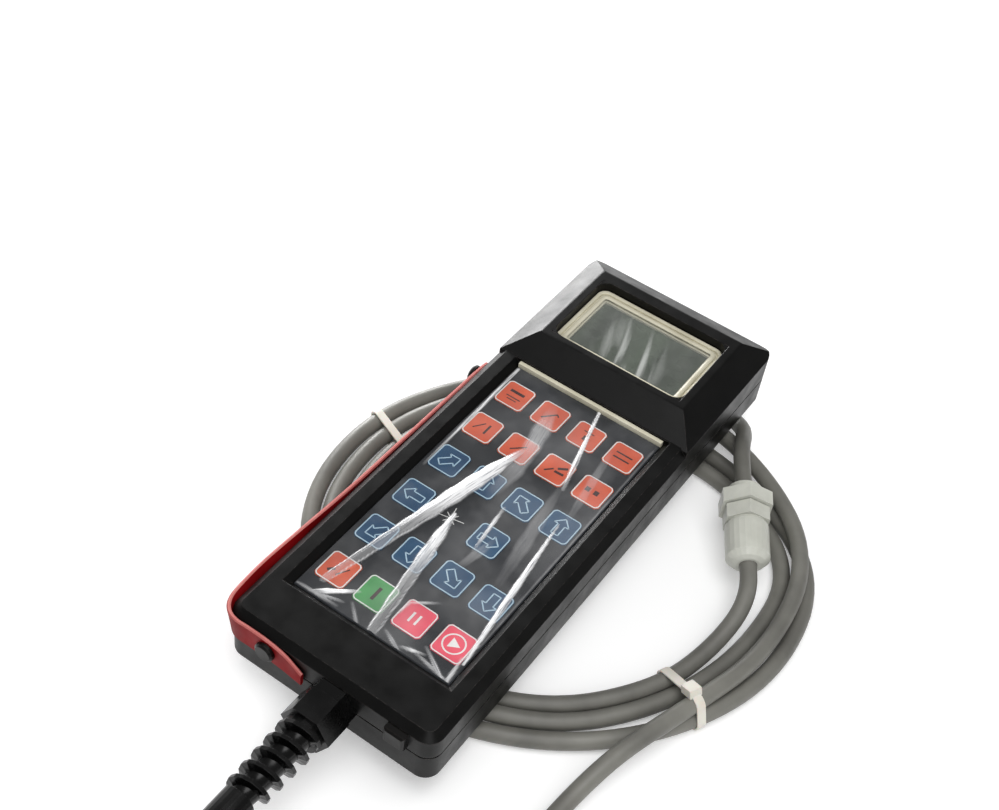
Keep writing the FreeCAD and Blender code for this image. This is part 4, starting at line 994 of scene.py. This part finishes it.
# Each crease: start, end, half widths and painted glare along its middle, painted glare of its rims, and
# height.
CREASES = [
    ((-7.2, 37), (-29.8, -70), (1.5, 3.7, 4.2, 3.7, 3.0, 2.4, 1.9),
     (0.3, 1, 0.95, 0.5, 0.26, 0.22, 0.2), 1, 1.7),
    ((-9.3, -10), (0.6, -80), (0.9, 2.5, 3.1, 2.8, 2.8, 2.6, 2.4),
     (0.7, 0.95, 0.6, 0.34, 0.24, 0.2, 0.2), 1, 1.4),
    ((27.6, 13), (37, -68), (0.4, 0.9, 1.3, 1.6, 1.4, 1.1, 0.8), (0.4, 0.8, 1, 1, 0.95, 0.9, 0.7), 0.5, 1.1),
    ((6.2, 79), (18.4, 30), (0.8, 0.9, 1.3, 0.9), (0.9, 1, 0.9, 0.2), 0, 0.8),
    ((4.8, 6), (7.9, -21), (0.7, 1.0, 0.9, 0.7), (0.2, 0.7, 0.55, 0.1), 0, 0.5),
    ((-36.6, 77), (-35.6, 4), (0.8, 0.9, 0.8, 0.7), (0.6, 0.75, 0.6, 0.1), 0, 0.3),
    ((37.1, 74), (37.1, -58), (0.55, 0.55, 0.55), (0.12, 0.18, 0.12), 0, 0.05),
    ((-10.5, 66), (-3.2, 32), (2.5, 4.6, 4.6, 3.0), (0.04, 0.3, 0.34, 0.1), 0, 0.3),
    ((-3.5, 36), (-4, 8), (3.0, 4.6, 4.2, 2.5), (0.2, 0.26, 0.14, 0.02), 0, 0.2),
    ((17, 30), (25.5, -28), (1.5, 3.2, 3.6, 2.0), (0.03, 0.16, 0.14, 0.02), 0, 0.3),
    ((23, 62), (29.5, 16), (1.2, 2.2, 2.2, 1.2), (0.03, 0.16, 0.14, 0.02), 0, 0.2),
    ((11.5, -12), (8, -32), (1.5, 2.6, 1.5), (0.03, 0.2, 0.02), 0, 0.2),
    ((-30, -77.5), (-15, -66), (0.8, 1.5, 1.2, 0.7), (0.2, 0.8, 0.8, 0.2), 0, 0.8),
    ((-37, -77.6), (-18, -77), (0.7, 0.9, 0.7), (0.2, 0.42, 0.1), 0, 0.3),
    ((-31, -78), (-17, -74), (0.7, 0.9, 0.7), (0.2, 0.45, 0.1), 0, 0.4),
    ((-14, -72), (-7, -78.4), (0.7, 0.9, 0.8), (0.1, 0.3, 0.3), 0, 0.4),
    ((2.8, -66), (3.6, -57.6), (0.7, 0.8, 0.7), (0.1, 0.4, 0.3), 0, 0.3),
    ((3.6, -57.6), (13, -50.5), (0.7, 0.8, 0.7), (0.3, 0.42, 0.05), 0, 0.3),
    ((4, -74), (13.5, -78.6), (0.7, 1.0, 0.8), (0.1, 0.42, 0.3), 0, 0.5),
    ((13, -76.6), (23, -73.7), (0.7, 1.0, 0.7), (0.1, 0.6, 0.1), 0, 0.5),
    ((16, -74.6), (36, -78.2), (0.7, 1.0, 0.8), (0.1, 0.36, 0.3), 0, 0.4),
    ((21, -70.5), (34.2, -78.6), (0.7, 1.0, 0.9), (0.1, 0.5, 0.5), 0, 0.5),
    ((35, -66), (36.4, -78.4), (0.7, 1.0, 1.0), (0.3, 0.5, 0.5), 0, 0.5),
]


def ripple(x, y):
    """The height of the flat film's own slight waves."""
    sway = RIPPLE_SWAY[0] * math.sin(RIPPLE_SWAY[1] * y)
    along = math.sin(RIPPLE_ALONG[0] * y + RIPPLE_ALONG[1])
    return RIPPLE_HEIGHT * math.sin(RIPPLE_ACROSS * x + sway) * along


def film_at(x, y):
    """The film's height above its flat place, its painted glare, and its place on the crease with the most
    glare there.
    """
    height = ripple(x, y)
    painted_glare = 0
    fold = (0, 0, 0)
    for number, (start, end, halves, painted_glares, rim, tall) in enumerate(CREASES):
        run = (end[0] - start[0], end[1] - start[1])
        length = math.hypot(*run)
        away = (x - start[0], y - start[1])
        share = min(max((away[0] * run[0] + away[1] * run[1]) / length ** 2, 0), 1)
        aside = (away[0] * run[1] - away[1] * run[0]) / length
        waver = 1 + CREASE_WAVER[0] * math.sin(CREASE_WAVER[1] * share * length + number)
        nearest = (start[0] + run[0] * share, start[1] + run[1] * share)
        across = math.dist((x, y), nearest) / (between(halves, share) * waver)
        if across >= 1:
            continue
        taper = min(1, CREASE_TAPER * share, CREASE_TAPER * (1 - share) + CREASE_END)
        height = max(height, tall * (1 - across) * taper)
        middle = between(painted_glares, share) * min(1, GLARE_FALL * (1 - across))
        # The rims carry painted glare too, fainter on one side.
        edge = rim * taper * max(0, 1 - abs(across - RIM_PLACE) / RIM_HALF) * (1 if aside > 0 else RIM_FAINT)
        if max(middle, edge) > painted_glare:
            painted_glare = max(middle, edge)
            fold = (aside, share * length, FOLD_APART * number)
    return height, painted_glare, fold


def make_film(material):
    wide, long = FILM_STEPS
    points = []
    painted_glares = []
    folds = []
    for row in range(long + 1):
        for column in range(wide + 1):
            x = FILM_HALF[0] * (2 * column / wide - 1)
            y = FILM_HALF[1] * (2 * row / long - 1)
            height, painted_glare, fold = film_at(x, y)
            points.append(at(x, y, FILM_HEIGHT + height))
            painted_glares.append(painted_glare)
            folds += fold
    faces = []
    for row in range(long):
        for column in range(wide):
            corner = row * (wide + 1) + column
            faces.append((corner, corner + 1, corner + wide + 2, corner + wide + 1))
    film = mesh_piece("film_sheet", points, faces, "box", material, closed=False)
    film.data.attributes.new("crease_glare", "FLOAT", "POINT").data.foreach_set("value", painted_glares)
    film.data.attributes.new("fold", "FLOAT_VECTOR", "POINT").data.foreach_set("vector", folds)
    film.data.shade_smooth()
    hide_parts("keypad_film")


# Floor and light, in metres

FLOOR_HALF = 6
FLOOR_SHADES = ((236, 236, 236), (242, 242, 242))
# The floor glows towards white from a near to a far distance.
FLOOR_GLOW = (0.4, 1.2, 0.28, 1.0)
WORLD_LIGHT = 0.3
WORLD_SEEN = 1.0
# Each lamp: place, size and power; all face the frame's origin.
LAMPS = {
    "lamp_above": ((0.25, -0.25, 1.3), 1.0, 11),
    "lamp_left": ((-0.8, 0.75, 0.16), 0.6, 20),
    "lamp_front": ((0.7, -0.9, 0.7), 0.8, 4),
}


def floor_finish():
    """A pale floor that shows the object's shadow and reads as white."""
    finish = Finish("floor")
    rays = finish.add("ShaderNodeLightPath").outputs
    seen = finish.calc("MAXIMUM", rays["Is Camera Ray"], rays["Is Glossy Ray"])
    seen = finish.calc("MAXIMUM", seen, rays["Is Transmission Ray"])
    glow = finish.span(finish.measure("LENGTH", finish.place), *FLOOR_GLOW)
    finish.set(
        Base_Color=finish.shades(finish.noise(scale=3), *FLOOR_SHADES),
        Roughness=0.9,
        Emission_Color=(1, 1, 1, 1),
        Emission_Strength=finish.calc("MULTIPLY", seen, glow),
    )
    return finish.material


def make_floor():
    level = at(0, 0, FLOOR)[2]
    corners = [(x * FLOOR_HALF, y * FLOOR_HALF, level) for x, y in CORNERS]
    mesh = bpy.data.meshes.new("floor")
    mesh.from_pydata(corners, [], [(0, 1, 2, 3)])
    mesh.materials.append(floor_finish())
    floor = add_object("floor", mesh)


def make_world():
    """A white world: dim as a light, and full white to the camera and through clear pieces."""
    world = bpy.data.worlds.new("world")
    bpy.context.scene.world = world
    world.use_nodes = True
    tree = world.node_tree
    rays = tree.nodes.new("ShaderNodeLightPath").outputs
    seen = tree.nodes.new("ShaderNodeMath")
    seen.operation = "MAXIMUM"
    tree.links.new(rays["Is Camera Ray"], seen.inputs[0])
    tree.links.new(rays["Is Transmission Ray"], seen.inputs[1])
    strength = tree.nodes.new("ShaderNodeMapRange")
    strength.inputs["To Min"].default_value = WORLD_LIGHT
    strength.inputs["To Max"].default_value = WORLD_SEEN
    tree.links.new(seen.outputs[0], strength.inputs["Value"])
    background = tree.nodes["Background"]
    background.inputs["Color"].default_value = (1, 1, 1, 1)
    tree.links.new(strength.outputs[0], background.inputs["Strength"])


def make_lamps():
    for name, (place, size, power) in LAMPS.items():
        data = bpy.data.lights.new(name, "AREA")
        data.size = size
        data.energy = power
        lamp = add_object(name, data)
        lamp.location = place
        lamp.rotation_euler = (-Vector(place)).to_track_quat("-Z", "Y").to_euler()


make_camera()
cable, cable_line = make_cable()
finishes = make_finishes()
dress(finishes)
cable.data.materials.append(finishes["cable_grey"])
[make_tie(name, cable_line, finishes["tie_white"]) for name in TIES]
make_frame(finishes["ivory"])
make_opening_corners(case_finish("opening", soft=CRISP))
make_core_tube(finishes["gland_black"])
make_strap(finishes["strap_red"])
make_prints(make_inks())
make_film(finishes["clear_film"])
make_floor()
make_world()
make_lamps()
bpy.context.scene.view_settings.view_transform = "Standard"
bpy.context.view_layer.update()
